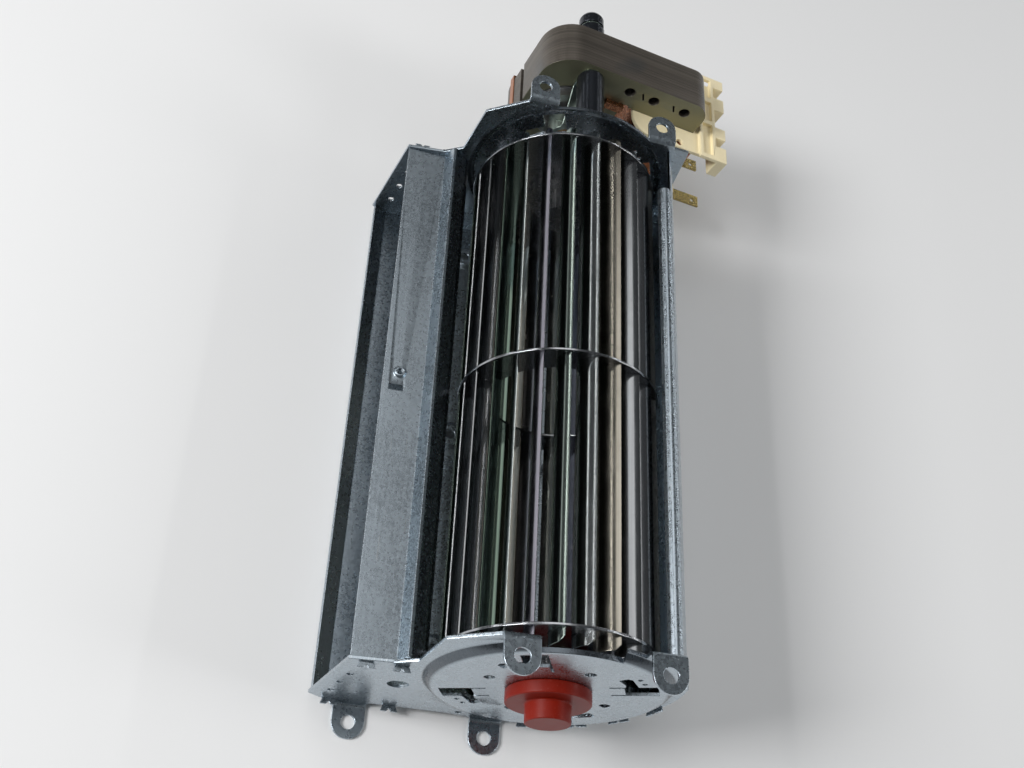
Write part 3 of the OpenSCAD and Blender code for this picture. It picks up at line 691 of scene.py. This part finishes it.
@dataclass(frozen=True)
class Laminations:
    """Edges and faces of stamped electrical sheet, stacked along X.

    Faces that look along X by more than flat_from are a sheet's own, and the others show the edges
    of the sheets with a groove between each two.
    """

    name: str = "laminations"
    edge: Colour = (0.115, 0.100, 0.084)
    face: Colour = (0.21, 0.205, 0.135)
    blue: Colour = (0.055, 0.065, 0.07)
    edge_tones: Band = (0.62, 1.45)
    face_tones: Band = (0.8, 1.25)
    tone_range: Band = (0.25, 0.75)
    roughness: float = 0.36
    metallic: float = 0.6
    flat_from: float = 0.7
    sheet: float = 0.5 * MM
    wave_share: float = 0.2
    sheet_share: float = 0.25
    rub: Layer = Layer(160, share=0.3, gloss=0.25, stretch=(1.0, 0.35, 0.35), detail=4)
    brushed: Layer = Layer(2400, share=0.25, stretch=(1.0, 0.02, 0.02), detail=2)
    blued: Layer = Layer(38, share=0.7, detail=2)
    blued_range: Band = (0.52, 0.66)
    groove_range: Band = (0.1, 0.5)
    groove_share: float = 0.7
    step_share: float = 0.3
    groove_depth: float = 0.05 * MM
    groove_strength: float = 0.6

    def material(self) -> bpy.types.Material:
        """Puts the finish together.

        Returns:
            The material.
        """
        recipe = Recipe(self.name)
        across = recipe.along("X")
        flat = recipe.facing() > self.flat_from
        wave = across.zigzag(self.sheet / 2) / (self.sheet / 2)
        each = recipe.node("TexWhiteNoise", {"noise_dimensions": "1D"}, "Value",
                           W=(across / self.sheet).floor())
        rub, brushed = recipe.noise(self.rub), recipe.noise(self.brushed)
        share = (wave * self.wave_share + each * self.sheet_share + rub * self.rub.share
                 + brushed * self.brushed.share)
        edge = recipe.tones(share.between(*self.tone_range), self.edge, self.edge_tones)
        blued = recipe.noise(self.blued).between(*self.blued_range)
        edge = recipe.blend(blued * self.blued.share, edge, self.blue)
        colour = recipe.blend(flat, edge, recipe.tones(rub, self.face, self.face_tones))
        height = wave.between(*self.groove_range) * self.groove_share + each * self.step_share
        groove = recipe.bump(height * (1 - flat), self.groove_depth, self.groove_strength)
        rough = self.roughness + rub.swing(self.rub.gloss)
        return recipe.finish(Base_Color=colour, Roughness=rough, Metallic=self.metallic,
                             Normal=groove)


@dataclass(frozen=True)
class Silicone:
    """Moulded silicone rubber with a satin skin and dust in it."""

    name: str = "red_silicone"
    colour: Colour = (0.23, 0.010, 0.002)
    dusty: Colour = (0.50, 0.24, 0.20)
    tones: Band = (0.8, 1.15)
    roughness: float = 0.42
    specular: float = 0.25
    cloud: Layer = Layer(130, gloss=0.15)
    dust: Layer = Layer(2200, share=0.2, gloss=0.1, detail=2)
    dust_range: Band = (0.64, 0.74)
    skin: Layer = Layer(1500, detail=2)
    skin_depth: float = 0.03 * MM
    skin_strength: float = 0.4

    def material(self) -> bpy.types.Material:
        """Puts the finish together.

        Returns:
            The material.
        """
        recipe = Recipe(self.name)
        cloud = recipe.noise(self.cloud)
        dust = recipe.noise(self.dust).between(*self.dust_range)
        colour = recipe.tones(cloud, self.colour, self.tones)
        colour = recipe.blend(dust * self.dust.share, colour, self.dusty)
        rough = self.roughness + cloud.swing(self.cloud.gloss) + dust * self.dust.gloss
        skin = recipe.bump(recipe.noise(self.skin), self.skin_depth, self.skin_strength)
        return recipe.finish(Base_Color=colour, Roughness=rough, Normal=skin,
                             Specular_IOR_Level=self.specular)


@dataclass(frozen=True)
class MouldedNylon:
    """Uncoloured glass-filled nylon."""

    name: str = "moulded_nylon"
    colour: Colour = (0.95, 0.82, 0.54)
    tones: Band = (0.88, 1.08)
    roughness: float = 0.45
    cloud: Layer = Layer(90, share=0.7, gloss=0.12, detail=4)
    fibre: Layer = Layer(1800, share=0.3, stretch=(0.3, 1.0, 1.0), detail=2)
    skin_depth: float = 0.03 * MM
    skin_strength: float = 0.35

    def material(self) -> bpy.types.Material:
        """Puts the finish together.

        Returns:
            The material.
        """
        recipe = Recipe(self.name)
        cloud, fibre = recipe.noise(self.cloud), recipe.noise(self.fibre)
        share = (cloud * self.cloud.share + fibre * self.fibre.share).clamped()
        colour = recipe.tones(share, self.colour, self.tones)
        skin = recipe.bump(fibre, self.skin_depth, self.skin_strength)
        rough = self.roughness + cloud.swing(self.cloud.gloss)
        return recipe.finish(Base_Color=colour, Roughness=rough, Normal=skin)


# Marks that run no way in particular, and marks that run along X as on a turned shaft.
FINE_MARKS = Layer(1300, share=0.5, gloss=0.16)
TURNED_MARKS = Layer(1300, share=0.5, gloss=0.16, stretch=(0.05, 1.0, 1.0))


@dataclass(frozen=True)
class PlainMetal:
    """Turned, drawn or stamped metal with fine marks."""

    name: str
    colour: Colour
    roughness: float = 0.3
    metallic: float = 1.0
    spread: float = 0.15
    marks: Layer = FINE_MARKS
    cloud: Layer = Layer(90, share=0.5, gloss=0.12, detail=2)
    tone_range: Band = (0.25, 0.75)
    enamel: float = 0.0
    enamel_roughness: float = 0.12

    def material(self) -> bpy.types.Material:
        """Puts the finish together.

        Returns:
            The material.
        """
        recipe = Recipe(self.name)
        marks, cloud = recipe.noise(self.marks), recipe.noise(self.cloud)
        share = (marks * self.marks.share + cloud * self.cloud.share).between(*self.tone_range)
        colour = recipe.tones(share, self.colour, (1 - self.spread, 1 + self.spread))
        rough = self.roughness + marks.swing(self.marks.gloss) + cloud.swing(self.cloud.gloss)
        return recipe.finish(Base_Color=colour, Roughness=rough, Metallic=self.metallic,
                             Normal=recipe.marked(marks), Coat_Weight=self.enamel,
                             Coat_Roughness=self.enamel_roughness)


def added(name: str, data: bpy.types.ID) -> bpy.types.Object:
    """Puts a new object into the scene.

    Args:
        name: The object's name.
        data: Its mesh, lamp or camera.

    Returns:
        The object.
    """
    thing = bpy.data.objects.new(name, data)
    bpy.context.scene.collection.objects.link(thing)
    return thing


def baked(carrier: bpy.types.Object) -> bpy.types.Mesh:
    """Turns an object with its modifiers into a plain mesh, and removes the object.

    Args:
        carrier: The object.

    Returns:
        What its modifiers made of its mesh.
    """
    graph = bpy.context.evaluated_depsgraph_get()
    mesh = bpy.data.meshes.new_from_object(carrier.evaluated_get(graph),
                                           preserve_all_data_layers=True, depsgraph=graph)
    source = carrier.data
    carrier.modifiers.clear()
    bpy.data.objects.remove(carrier)
    bpy.data.meshes.remove(source)
    return mesh


def dress(nodes: Sequence[str], material: bpy.types.Material) -> None:
    """Gives CAD nodes one material.

    Args:
        nodes: Names of the nodes.
        material: The material.
    """
    for name in nodes:
        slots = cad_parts[name].data.materials
        slots.clear()
        slots.append(material)
        LOG.info("dressed %s in %s", name, material.name)


def link(name: str, mesh: bpy.types.Mesh, body: Body) -> bpy.types.Object:
    """Makes a finished piece from a mesh.

    Args:
        name: The piece's name.
        mesh: Its mesh, in place.
        body: What it rides on.

    Returns:
        The piece.
    """
    piece = added(name, mesh)
    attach(piece, body.value)
    LOG.info("made %s, %d faces", name, len(mesh.polygons))
    return piece


def bevelled(mesh: bpy.types.Mesh, width: float, steps: int = EDGE_STEPS) -> bpy.types.Mesh:
    """Breaks the sharp edges of a mesh.

    Args:
        mesh: A closed mesh.
        width: Width of the broken edge.
        steps: Faces across it.

    Returns:
        A new mesh, with the old one removed.
    """
    mesh.polygons.foreach_set("use_smooth", [True] * len(mesh.polygons))
    mesh.set_sharp_from_angle(angle=SHARP_EDGE)
    carrier = added("carrier", mesh)
    bevel = carrier.modifiers.new("edges", "BEVEL")
    bevel.width = width
    bevel.segments = steps
    bevel.limit_method = "ANGLE"
    bevel.angle_limit = SHARP_EDGE
    bevel.harden_normals = True
    bevel.use_clamp_overlap = False
    bevel.miter_outer = "MITER_ARC"
    return baked(carrier)


def eased(name: str, material: bpy.types.Material, body: Body, width: float,
          steps: int = EDGE_STEPS, adjust: Callable[[Vector], Vector] | None = None,
          refine: Callable[[Vector, Vector], bool] | None = None) -> bpy.types.Object:
    """Lets a copy of a CAD node stand for it, with sharp edges broken so that they catch light.

    Args:
        name: The node's name.
        material: What the piece is made of.
        body: What it rides on.
        width: Width of a broken edge.
        steps: Faces across it.
        adjust: Moves single points of the copy.
        refine: Says from an edge's two ends whether it gets more points first.

    Returns:
        The piece.
    """
    shell = bmesh.new()
    shell.from_mesh(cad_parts[name].data)
    bmesh.ops.remove_doubles(shell, verts=shell.verts, dist=SAME_POINT)
    bmesh.ops.dissolve_limit(shell, angle_limit=SAME_PLANE, verts=shell.verts, edges=shell.edges)
    if refine:
        chosen = [edge for edge in shell.edges if refine(edge.verts[0].co, edge.verts[1].co)]
        bmesh.ops.subdivide_edges(shell, edges=chosen, cuts=EXTRA_CUTS, use_grid_fill=True)
    if adjust:
        for corner in shell.verts:
            corner.co = adjust(corner.co)
    mesh = bpy.data.meshes.new(name + "_eased")
    shell.to_mesh(mesh)
    shell.free()
    # A mitre can stick out past the faces that it joins, so it is held inside the copy's own box.
    box = [(min(axis), max(axis)) for axis in zip(*(corner.co for corner in mesh.vertices))]
    mesh = bevelled(mesh, width, steps)
    for corner in mesh.vertices:
        corner.co = [min(max(place, low), high) for place, (low, high) in zip(corner.co, box)]
    mesh.materials.clear()
    mesh.materials.append(material)
    piece = link(name + "_eased", mesh, body)
    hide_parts(name)
    return piece


@dataclass(frozen=True)
class Dish:
    """The drawn dish of a side plate, whose conical wall becomes rounder and steeper.

    Attributes:
        depth: How far its floor stands off the plate.
        cone: Radius and height of the cone's corners, in millimetres, from the floor outwards.
        band: Radii between which the wall lies.
        heights: Heights over the plate between which its points lie.
        shortest: Least run of an edge across the wall that gets more points.
        outer: Radius where the rounder wall leaves the plate.
        inner: Radius where it meets the floor.
        curve: How steeply it leaves, where 1 is a plain cone.
    """

    depth: float = 2.2 * MM
    cone: tuple[Band, ...] = ((30.6, 2.2), (31.4, 2.0), (33.6, 0.2), (34.4, 0.0))
    band: Band = (30.5 * MM, 34.5 * MM)
    heights: Band = (-1.2 * MM, 2.5 * MM)
    shortest: float = 0.3 * MM
    outer: float = 34.1 * MM
    inner: float = 30.5 * MM
    curve: float = 2.6

    def radius(self, point: Vector) -> float:
        """Returns a point's distance from the wheel axis."""
        return math.hypot(point.y - AXIS.y, point.z - AXIS.z)

    def crossed(self, one: Vector, other: Vector) -> bool:
        """Says whether an edge runs across the wall.

        Args:
            one: One end of the edge.
            other: Its other end.

        Returns:
            Whether it does.
        """
        near, far = sorted((self.radius(one), self.radius(other)))
        low, high = self.band
        return low < near and far < high and far - near > self.shortest

    def drawn(self, point: Vector) -> Vector:
        """Moves a point of the conical wall onto the rounder one.

        Args:
            point: Any point of a side plate.

        Returns:
            Where it goes, which is where it was if it isn't on the wall.
        """
        radius = self.radius(point)
        inside = self.band[0] < radius < self.band[1]
        if not inside or not self.heights[0] < abs(point.x) - PLATE_X < self.heights[1]:
            return point
        share = min(1.0, max(0.0, (self.outer - radius) / (self.outer - self.inner)))
        height = (1 - (1 - share) ** self.curve) * self.depth
        shift = math.copysign(height - self._cone_height(radius / MM) * MM, point.x)
        return Vector((point.x + shift, point.y, point.z))

    def _cone_height(self, radius: float) -> float:
        """Finds the height of the conical wall.

        Args:
            radius: Distance from the wheel axis, in millimetres.

        Returns:
            The height over the plate, in millimetres.
        """
        for (near, upper), (far, lower) in zip(self.cone, self.cone[1:]):
            if near <= radius <= far:
                return upper + (lower - upper) * (radius - near) / (far - near)
        end = self.cone[0] if radius < self.cone[0][0] else self.cone[-1]
        return end[1]


@dataclass
class Housing:
    """Side plates, scroll wall and outlet wall."""

    sheet: GalvanisedSheet = GalvanisedSheet()
    dish: Dish = Dish()
    edge: float = 0.14 * MM

    def build(self) -> None:
        """Dresses the sheet metal, breaks its edges and rounds the drawn wall of the dishes."""
        zinc = self.sheet.material()
        for name in ("bearing_side_plate", "motor_side_plate"):
            eased(name, zinc, Body.HOUSING, self.edge,
                  adjust=self.dish.drawn, refine=self.dish.crossed)
        for name in ("scroll_wall", "outlet_wall"):
            eased(name, zinc, Body.HOUSING, self.edge)


@dataclass
class BearingEnd:
    """Silicone bush and the sleeve in it."""

    rubber: Silicone = Silicone()
    bronze: PlainMetal = PlainMetal("sintered_bronze", (0.30, 0.20, 0.10), roughness=0.45,
                                    metallic=0.9)
    soft_edge: float = 0.45 * MM

    def build(self) -> None:
        """Dresses the bearing end and the motor's bearings."""
        eased("bearing_bush", self.rubber.material(), Body.HOUSING, self.soft_edge,
              ROUND_STEPS)
        dress(["bush_sleeve", "front_bearing", "rear_bearing", "thrust_washers"],
              self.bronze.material())


@dataclass
class Wheel:
    """The bladed drum and its shafts.

    Attributes:
        blades: Number of blades.
        outer: Radius of their outer edges.
        inner: Radius of their inner edges.
        thick: Thickness of a blade.
        length: Length of a blade along X.
        middle: X of the drum's middle.
        exit_angle: Angle between a blade and the outer circle, in radians.
        corner: How far a blade is cut back at the corners of its outer edge.
        corner_share: Share of its curve over which it is.
        points: Points of a blade along X, over its curve and through its sheet.
        tilt: Largest turn of a blade from its even place, in radians.
        seed: Seed of the random numbers.
        salt: Tells the tints' random numbers from the turns'.
        blade_edge: Width of a blade's broken edges.
        disc_edge: Width of the end discs' broken edges.
        ring_edge: Width of the middle ring's broken edges.
        sheet: Finish of the discs and the ring.
        blade: Finish of the blades.
        steel: Finish of the hub and the shafts.
    """

    blades: int = 24
    outer: float = 30.0 * MM
    inner: float = 23.0 * MM
    thick: float = 0.5 * MM
    length: float = 172.6 * MM
    middle: float = -1.0 * MM
    exit_angle: float = math.radians(32)
    corner: float = 1.6 * MM
    corner_share: float = 0.19
    points: tuple[int, int, int] = (13, 15, 2)
    tilt: float = math.radians(0.12)
    seed: int = 5
    salt: int = 3
    blade_edge: float = 0.12 * MM
    disc_edge: float = 0.2 * MM
    ring_edge: float = 0.22 * MM
    sheet: RolledSheet = RolledSheet()
    blade: BladeSheet = BladeSheet()
    steel: PlainMetal = PlainMetal("turned_steel", (0.42, 0.42, 0.43), roughness=0.26, spread=0.12,
                                   marks=TURNED_MARKS)

    def build(self) -> None:
        """Makes the blades and dresses the rest of the wheel."""
        drum = link("blade_drum", self._drum(), Body.ROTOR)
        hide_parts("impeller_blades")
        bright = self.sheet.material()
        eased("middle_ring", bright, Body.ROTOR, self.ring_edge, ROUND_STEPS)
        for name in ("end_disc_bearing", "end_disc_motor"):
            eased(name, bright, Body.ROTOR, self.disc_edge)
        dress(["stub_shaft", "rotor_shaft", "wheel_hub"], self.steel.material())

    def _drum(self) -> bpy.types.Mesh:
        """Makes the curved blades, each on its place round the axis.

        Returns:
            The mesh of the blades.
        """
        grow = Growth("blade_drum")
        blades, seed = grow.size("Blades", self.blades), grow.size("Seed", self.seed)
        outer, inner = grow.size("Outer radius", self.outer), grow.size("Inner radius", self.inner)
        sheet, length = grow.size("Sheet", self.thick), grow.size("Length", self.length)
        leave, corner = grow.size("Exit angle", self.exit_angle), grow.size("Corner", self.corner)
        tilt = grow.size("Tilt", self.tilt)
        # A blade is an arc of radius bend round a point at distance centre from the wheel axis. It
        # runs from angle last at the outer circle to angle first at the inner one.
        bend = (outer * outer - inner * inner) / (2.0 * outer * leave.cosine())
        centre = (inner * inner + bend * bend) ** 0.5
        first = (-1.0 * bend / centre).arcsine()
        last = ((outer * outer - centre * centre - bend * bend) / (2.0 * centre * bend)).arcsine()
        columns, rows, layers = self.points
        plain = grow.node("MeshCube", Size=EVEN, Vertices_X=columns, Vertices_Y=rows,
                          Vertices_Z=layers)
        here = grow.node("InputPosition")
        x, y, z = (grow.node("ShaderNodeSeparateXYZ", output=axis, Vector=here) for axis in "XYZ")
        along = y + 0.5  # From 0 at the outer edge to 1 at the inner one.
        angle = last + along * (first - last)
        radius = bend + z * sheet
        cut = corner * 2.0 * (1.0 - along / self.corner_share).clamped()
        bent = grow.node("SetPosition", Geometry=plain, Position=grow.vector(
            x * (length - cut), radius * angle.cosine(), centre + radius * angle.sine()))
        places = grow.node("MeshLine", Count=blades, Offset=(0.0, 0.0, 0.0))
        turn = grow.node("InputIndex") * (2 * math.pi) / blades + grow.spread(seed, tilt)
        drum = grow.node("InstanceOnPoints", Points=places, Instance=bent,
                         Rotation=grow.vector(turn, 0.0, 0.0))
        own = grow.spread(seed, 0.5, self.salt) + 0.5
        tinted = grow.node("StoreNamedAttribute", {"data_type": "FLOAT", "domain": "INSTANCE"},
                           Geometry=drum, Name=BLADE_TINT, Value=own)
        mesh = grow.mesh(tinted, self.blade.material())
        mesh.transform(Matrix.Translation(AXIS + Vector((self.middle, 0.0, 0.0))))
        return bevelled(mesh, self.blade_edge)


@dataclass
class Motor:
    """The shaded-pole motor without its coil."""

    thin_edge: float = 0.15 * MM
    strap_edge: float = 0.18 * MM
    screw_edge: float = 0.2 * MM
    round_edge: float = 0.3 * MM
    stack: Laminations = Laminations()
    rotor: PlainMetal = PlainMetal("rotor_metal", (0.34, 0.34, 0.34), roughness=0.35)
    black: PlainMetal = PlainMetal("blackened_steel", (0.045, 0.05, 0.06), roughness=0.24,
                                   metallic=0.85)
    zinc: PlainMetal = PlainMetal("zinc_strap", (0.30, 0.36, 0.32), roughness=0.30)
    steel: PlainMetal = PlainMetal("screw_steel", (0.40, 0.41, 0.42), roughness=0.28, spread=0.12,
                                   marks=TURNED_MARKS)
    copper: PlainMetal = PlainMetal("bare_copper", (0.50, 0.22, 0.12), roughness=0.28)

    def build(self) -> None:
        """Dresses the motor and breaks its edges."""
        stack = self.stack.material()
        for name in ("stator_stack", "coil_leg"):
            eased(name, stack, Body.HOUSING, self.thin_edge)
        dress(["rotor_core"], self.rotor.material())
        black = self.black.material()
        for name in ("spacer_posts", "rear_columns", "domed_nuts"):
            eased(name, black, Body.HOUSING, self.round_edge)
        dress(["hub_set_screw"], black)
        zinc = self.zinc.material()
        for name in ("front_bridge", "rear_bridge"):
            eased(name, zinc, Body.HOUSING, self.strap_edge)
        dress(["bearing_retainers"], zinc)
        eased("motor_screws", self.steel.material(), Body.HOUSING, self.screw_edge)
        eased("shading_rings", self.copper.material(), Body.HOUSING, self.round_edge)


@dataclass(frozen=True)
class Turns:
    """One set of turns of the coil.

    Attributes:
        label: What their number is called among the tree's inputs.
        count: Their number.
        lean: Largest lean of a turn, in radians.
        swell: How unevenly wide they are, as a share of their width.
        salt: Tells their random numbers from those of another set.
    """

    label: str
    count: int
    lean: float
    swell: float
    salt: int


@dataclass
class Coil:
    """The motor's coil on its former, with its terminals.

    Lengths are in the motor's own turned frame, with the wheel axis at zero.

    Attributes:
        front: X of the stack's front face.
        thick: Thickness of the stack.
        leg_y: Outer side of the leg that carries the coil.
        leg_width: Width of that leg.
        depth: How far the winding stands off the leg, but for its outer side.
        outer_depth: How far it stands off there.
        rounding: Radius of its corners.
        rounding_steps: Steps round a corner.
        length: Length of the winding.
        flange_y: Outer edge of the former's lower flange, where it carries the tabs.
        flange_slack: How far over its inner face a point still counts as that flange's.
        wire: Radius of the wire.
        wire_sides: Sides of the wire.
        sets: The regular turns, and a few stray ones across them.
        seed: Seed of the random numbers.
        former_edge: Width of the former's broken edges.
        tab_edge: Width of the tabs' broken edges.
        nylon: Finish of the former.
        copper: Finish of the wire.
        brass: Finish of the tabs.
    """

    front: float = 119.7 * MM
    thick: float = 17.3 * MM
    leg_y: float = -46.0 * MM
    leg_width: float = 13.0 * MM
    depth: float = 8.0 * MM
    outer_depth: float = 3.0 * MM
    rounding: float = 7.0 * MM
    rounding_steps: int = 8
    length: float = 20.8 * MM
    flange_y: float = -51.0 * MM
    flange_slack: float = 0.1 * MM
    wire: float = 0.21 * MM
    wire_sides: int = 6
    sets: tuple[Turns, ...] = (Turns("Turns", 47, lean=0.006, swell=0.004, salt=1),
                               Turns("Stray turns", 9, lean=0.05, swell=0.012, salt=7))
    seed: int = 11
    former_edge: float = 0.3 * MM
    tab_edge: float = 0.15 * MM
    nylon: MouldedNylon = MouldedNylon()
    copper: PlainMetal = PlainMetal("enamelled_copper", (0.34, 0.125, 0.05), roughness=0.26,
                                    spread=0.3, enamel=0.6)
    brass: PlainMetal = PlainMetal("terminal_brass", (0.36, 0.28, 0.11), roughness=0.26)

    def build(self) -> None:
        """Dresses the former and the terminals, and winds the coil."""
        eased("coil_bobbin", self.nylon.material(), Body.HOUSING, self.former_edge,
              adjust=self._short_flange)
        eased("spade_terminals", self.brass.material(), Body.HOUSING, self.tab_edge)
        coil = link("wound_coil", self._wound(), Body.HOUSING)
        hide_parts("coil_winding")

    def _short_flange(self, point: Vector) -> Vector:
        """Draws in the outer edge of the former's lower flange.

        Args:
            point: A point of the former.

        Returns:
            Where it goes.
        """
        own = MOTOR_TURN.inverted() @ (point - AXIS)
        if own.z < -self.length / 2 + self.flange_slack and own.y < self.flange_y:
            own.y = self.flange_y
        return MOTOR_TURN @ own + AXIS

    def _wound(self) -> bpy.types.Mesh:
        """Winds wire round the coil, with a few stray turns across it.

        Returns:
            The mesh of the turns and of the core that they hide.
        """
        grow = Growth("coil_turns")
        counts = [grow.size(each.label, each.count) for each in self.sets]
        seed, wire = grow.size("Seed", self.seed), grow.size("Wire radius", self.wire)
        length = grow.size("Coil length", self.length)
        width = grow.size("Width", self.thick + 2 * self.depth)
        depth = grow.size("Depth", self.leg_width + self.depth + self.outer_depth)
        corner = grow.size("Corner radius", self.rounding)
        square = grow.node("CurvePrimitiveQuadrilateral", Width=width, Height=depth)
        loop = grow.node("FilletCurve", {"mode": "POLY"}, Curve=square, Radius=corner,
                         Count=self.rounding_steps, Limit_Radius=True)
        ring = grow.node("CurvePrimitiveCircle", Resolution=self.wire_sides, Radius=wire)
        tube = grow.node("CurveToMesh", Curve=loop, Profile_Curve=ring)
        spine = grow.node("CurvePrimitiveLine", Start=grow.vector(0.0, 0.0, length * -0.5),
                          End=grow.vector(0.0, 0.0, length * 0.5))
        core = grow.node("CurveToMesh", Curve=spine, Profile_Curve=loop, Fill_Caps=True)
        # The outermost turns lie two wire radii inside the former's flanges.
        span = length - 4.0 * wire
        parts = [core]
        for turns, count in zip(self.sets, counts):
            places = grow.node("MeshLine", Count=count,
                               Start_Location=grow.vector(0.0, 0.0, span * -0.5),
                               Offset=grow.vector(0.0, 0.0, span / (count - 1.0)))
            turn = grow.vector(grow.spread(seed, turns.lean, turns.salt),
                               grow.spread(seed, turns.lean, turns.salt + 1), 0.0)
            grown = grow.spread(seed, turns.swell, turns.salt + 2) + (1.0 + turns.swell * 0.5)
            parts.append(grow.node("InstanceOnPoints", Points=places, Instance=tube, Rotation=turn,
                                   Scale=grow.vector(grown, grown, 1.0)))
        joined = grow.node("JoinGeometry")
        for part in parts:
            grow.feed(joined.socket.node.inputs[0], part)
        mesh = grow.mesh(joined, self.copper.material())
        middle = Vector((self.front + self.thick / 2,
                         self.leg_y + (self.leg_width + self.depth - self.outer_depth) / 2, 0.0))
        mesh.transform(Matrix.Translation(AXIS) @ MOTOR_TURN @ Matrix.Translation(middle))
        return mesh


@dataclass(frozen=True)
class SoftBox:
    """A square lamp that faces the object.

    Attributes:
        name: The lamp's name.
        place: Where it hangs.
        side: Length of its sides.
        watts: Its power.
    """

    name: str
    place: Triple
    side: float
    watts: float


@dataclass(frozen=True)
class Strip:
    """A long lamp on an arch over the object, lengthwise to the wheel axis.

    Attributes:
        lean: Its angle from straight above towards the outlet, in degrees.
        x: Its place along the wheel axis.
        length: Its size along X.
        width: Its size across.
        watts: Its power.
    """

    lean: float
    x: float
    length: float
    width: float
    watts: float


@dataclass
class Studio:
    """Floor, lamps and the camera of the reference view.

    Attributes:
        camera_place: Where the camera stands.
        camera_turn: How it is turned, in degrees.
        lens: Its focal length, in millimetres.
        sensor: Its width of picture, in millimetres.
        nearest: The least distance that it sees.
        floor_half: Half the floor's side.
        floor_colour: The floor's colour.
        floor_roughness: The floor's roughness.
        sky_colour: Colour of the light from all round.
        sky: Strength of that light.
        aim: What the soft boxes face.
        boxes: The soft boxes.
        arch: Radius of the arch of strips.
        strips: The strips, whose reflections are the metal's highlights.
    """

    camera_place: Triple = (-191.77 * MM, 65.51 * MM, 353.12 * MM)
    camera_turn: Triple = (30.538, -15.673, -87.355)
    lens: float = 43.13
    sensor: float = 36.0
    nearest: float = 0.01
    floor_half: float = 3.0
    floor_colour: Colour = (0.86, 0.86, 0.86)
    floor_roughness: float = 0.7
    sky_colour: Colour = (0.92, 0.97, 1.0)
    sky: float = 0.10
    aim: Triple = (0.0, 0.0, 0.03)
    boxes: tuple[SoftBox, ...] = (SoftBox("key", (-0.15, 0.95, 0.80), side=0.45, watts=12.0),
                                  SoftBox("fill", (-0.2, -1.0, 0.65), side=0.3, watts=2.5))
    arch: float = 1.1
    strips: tuple[Strip, ...] = (Strip(9, 0.36, 1.1, 0.5, 2.2), Strip(-75, 0.5, 1.5, 0.04, 1.2),
                                 Strip(-50, 0.5, 1.5, 0.025, 1.1), Strip(40, 0.5, 1.5, 0.02, 0.9),
                                 Strip(70, 0.5, 1.5, 0.04, 1.1))

    def build(self) -> None:
        """Makes the floor, the light and the camera."""
        self._floor()
        self._light()
        self._camera()

    def _floor(self) -> None:
        """Makes the pale floor that the feet stand on."""
        half = self.floor_half
        corners = [(-half, -half, 0), (half, -half, 0), (half, half, 0), (-half, half, 0)]
        mesh = bpy.data.meshes.new("floor")
        mesh.from_pydata(corners, [], [(0, 1, 2, 3)])
        floor = added("floor", mesh)
        mesh.materials.append(Recipe("pale_floor").finish(Base_Color=self.floor_colour,
                                                          Roughness=self.floor_roughness))

    def _lamp(self, name: str, place: Sequence[float], turn: Euler, size: tuple[float, float],
              watts: float) -> None:
        """Makes one soft lamp.

        Args:
            name: The lamp's name.
            place: Where it hangs.
            turn: How it is turned from facing straight down.
            size: Its two sides.
            watts: Its power.
        """
        lamp = bpy.data.lights.new(name, "AREA")
        lamp.shape = "RECTANGLE"
        lamp.size, lamp.size_y = size
        lamp.energy = watts
        held = added(name, lamp)
        held.location = place
        held.rotation_euler = turn

    def _light(self) -> None:
        """Lights the object from soft boxes, with strips between them for the highlights."""
        world = bpy.data.worlds.new("studio")
        world.use_nodes = True
        background = world.node_tree.nodes["Background"]
        background.inputs["Color"].default_value = (*self.sky_colour, 1)
        background.inputs["Strength"].default_value = self.sky
        bpy.context.scene.world = world
        for box in self.boxes:
            away = Vector(box.place) - Vector(self.aim)
            self._lamp(box.name, box.place, away.to_track_quat("Z", "Y").to_euler(),
                       (box.side, box.side), box.watts)
        for count, strip in enumerate(self.strips):
            lean = math.radians(strip.lean)
            place = (strip.x, self.arch * math.sin(lean), self.arch * math.cos(lean))
            self._lamp(f"overhead_{count}", place, Euler((-lean, 0, 0)),
                       (strip.length, strip.width), strip.watts)

    def _camera(self) -> None:
        """Places the camera of the reference view."""
        camera = bpy.data.cameras.new("camera")
        camera.sensor_width = self.sensor
        camera.lens = self.lens
        camera.clip_start = self.nearest
        held = added("camera", camera)
        held.location = self.camera_place
        held.rotation_euler = Euler([math.radians(turn) for turn in self.camera_turn])
        bpy.context.scene.camera = held


def main() -> None:
    """Dresses the fan and sets up the studio."""
    logging.basicConfig(level=logging.INFO, format="%(message)s")
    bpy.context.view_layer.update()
    for part in (Studio(), Housing(), BearingEnd(), Wheel(), Motor(), Coil()):
        part.build()
        LOG.info("built %s", type(part).__name__)
    bpy.context.scene.view_settings.view_transform = "Standard"


if __name__ == "__main__":
    main()
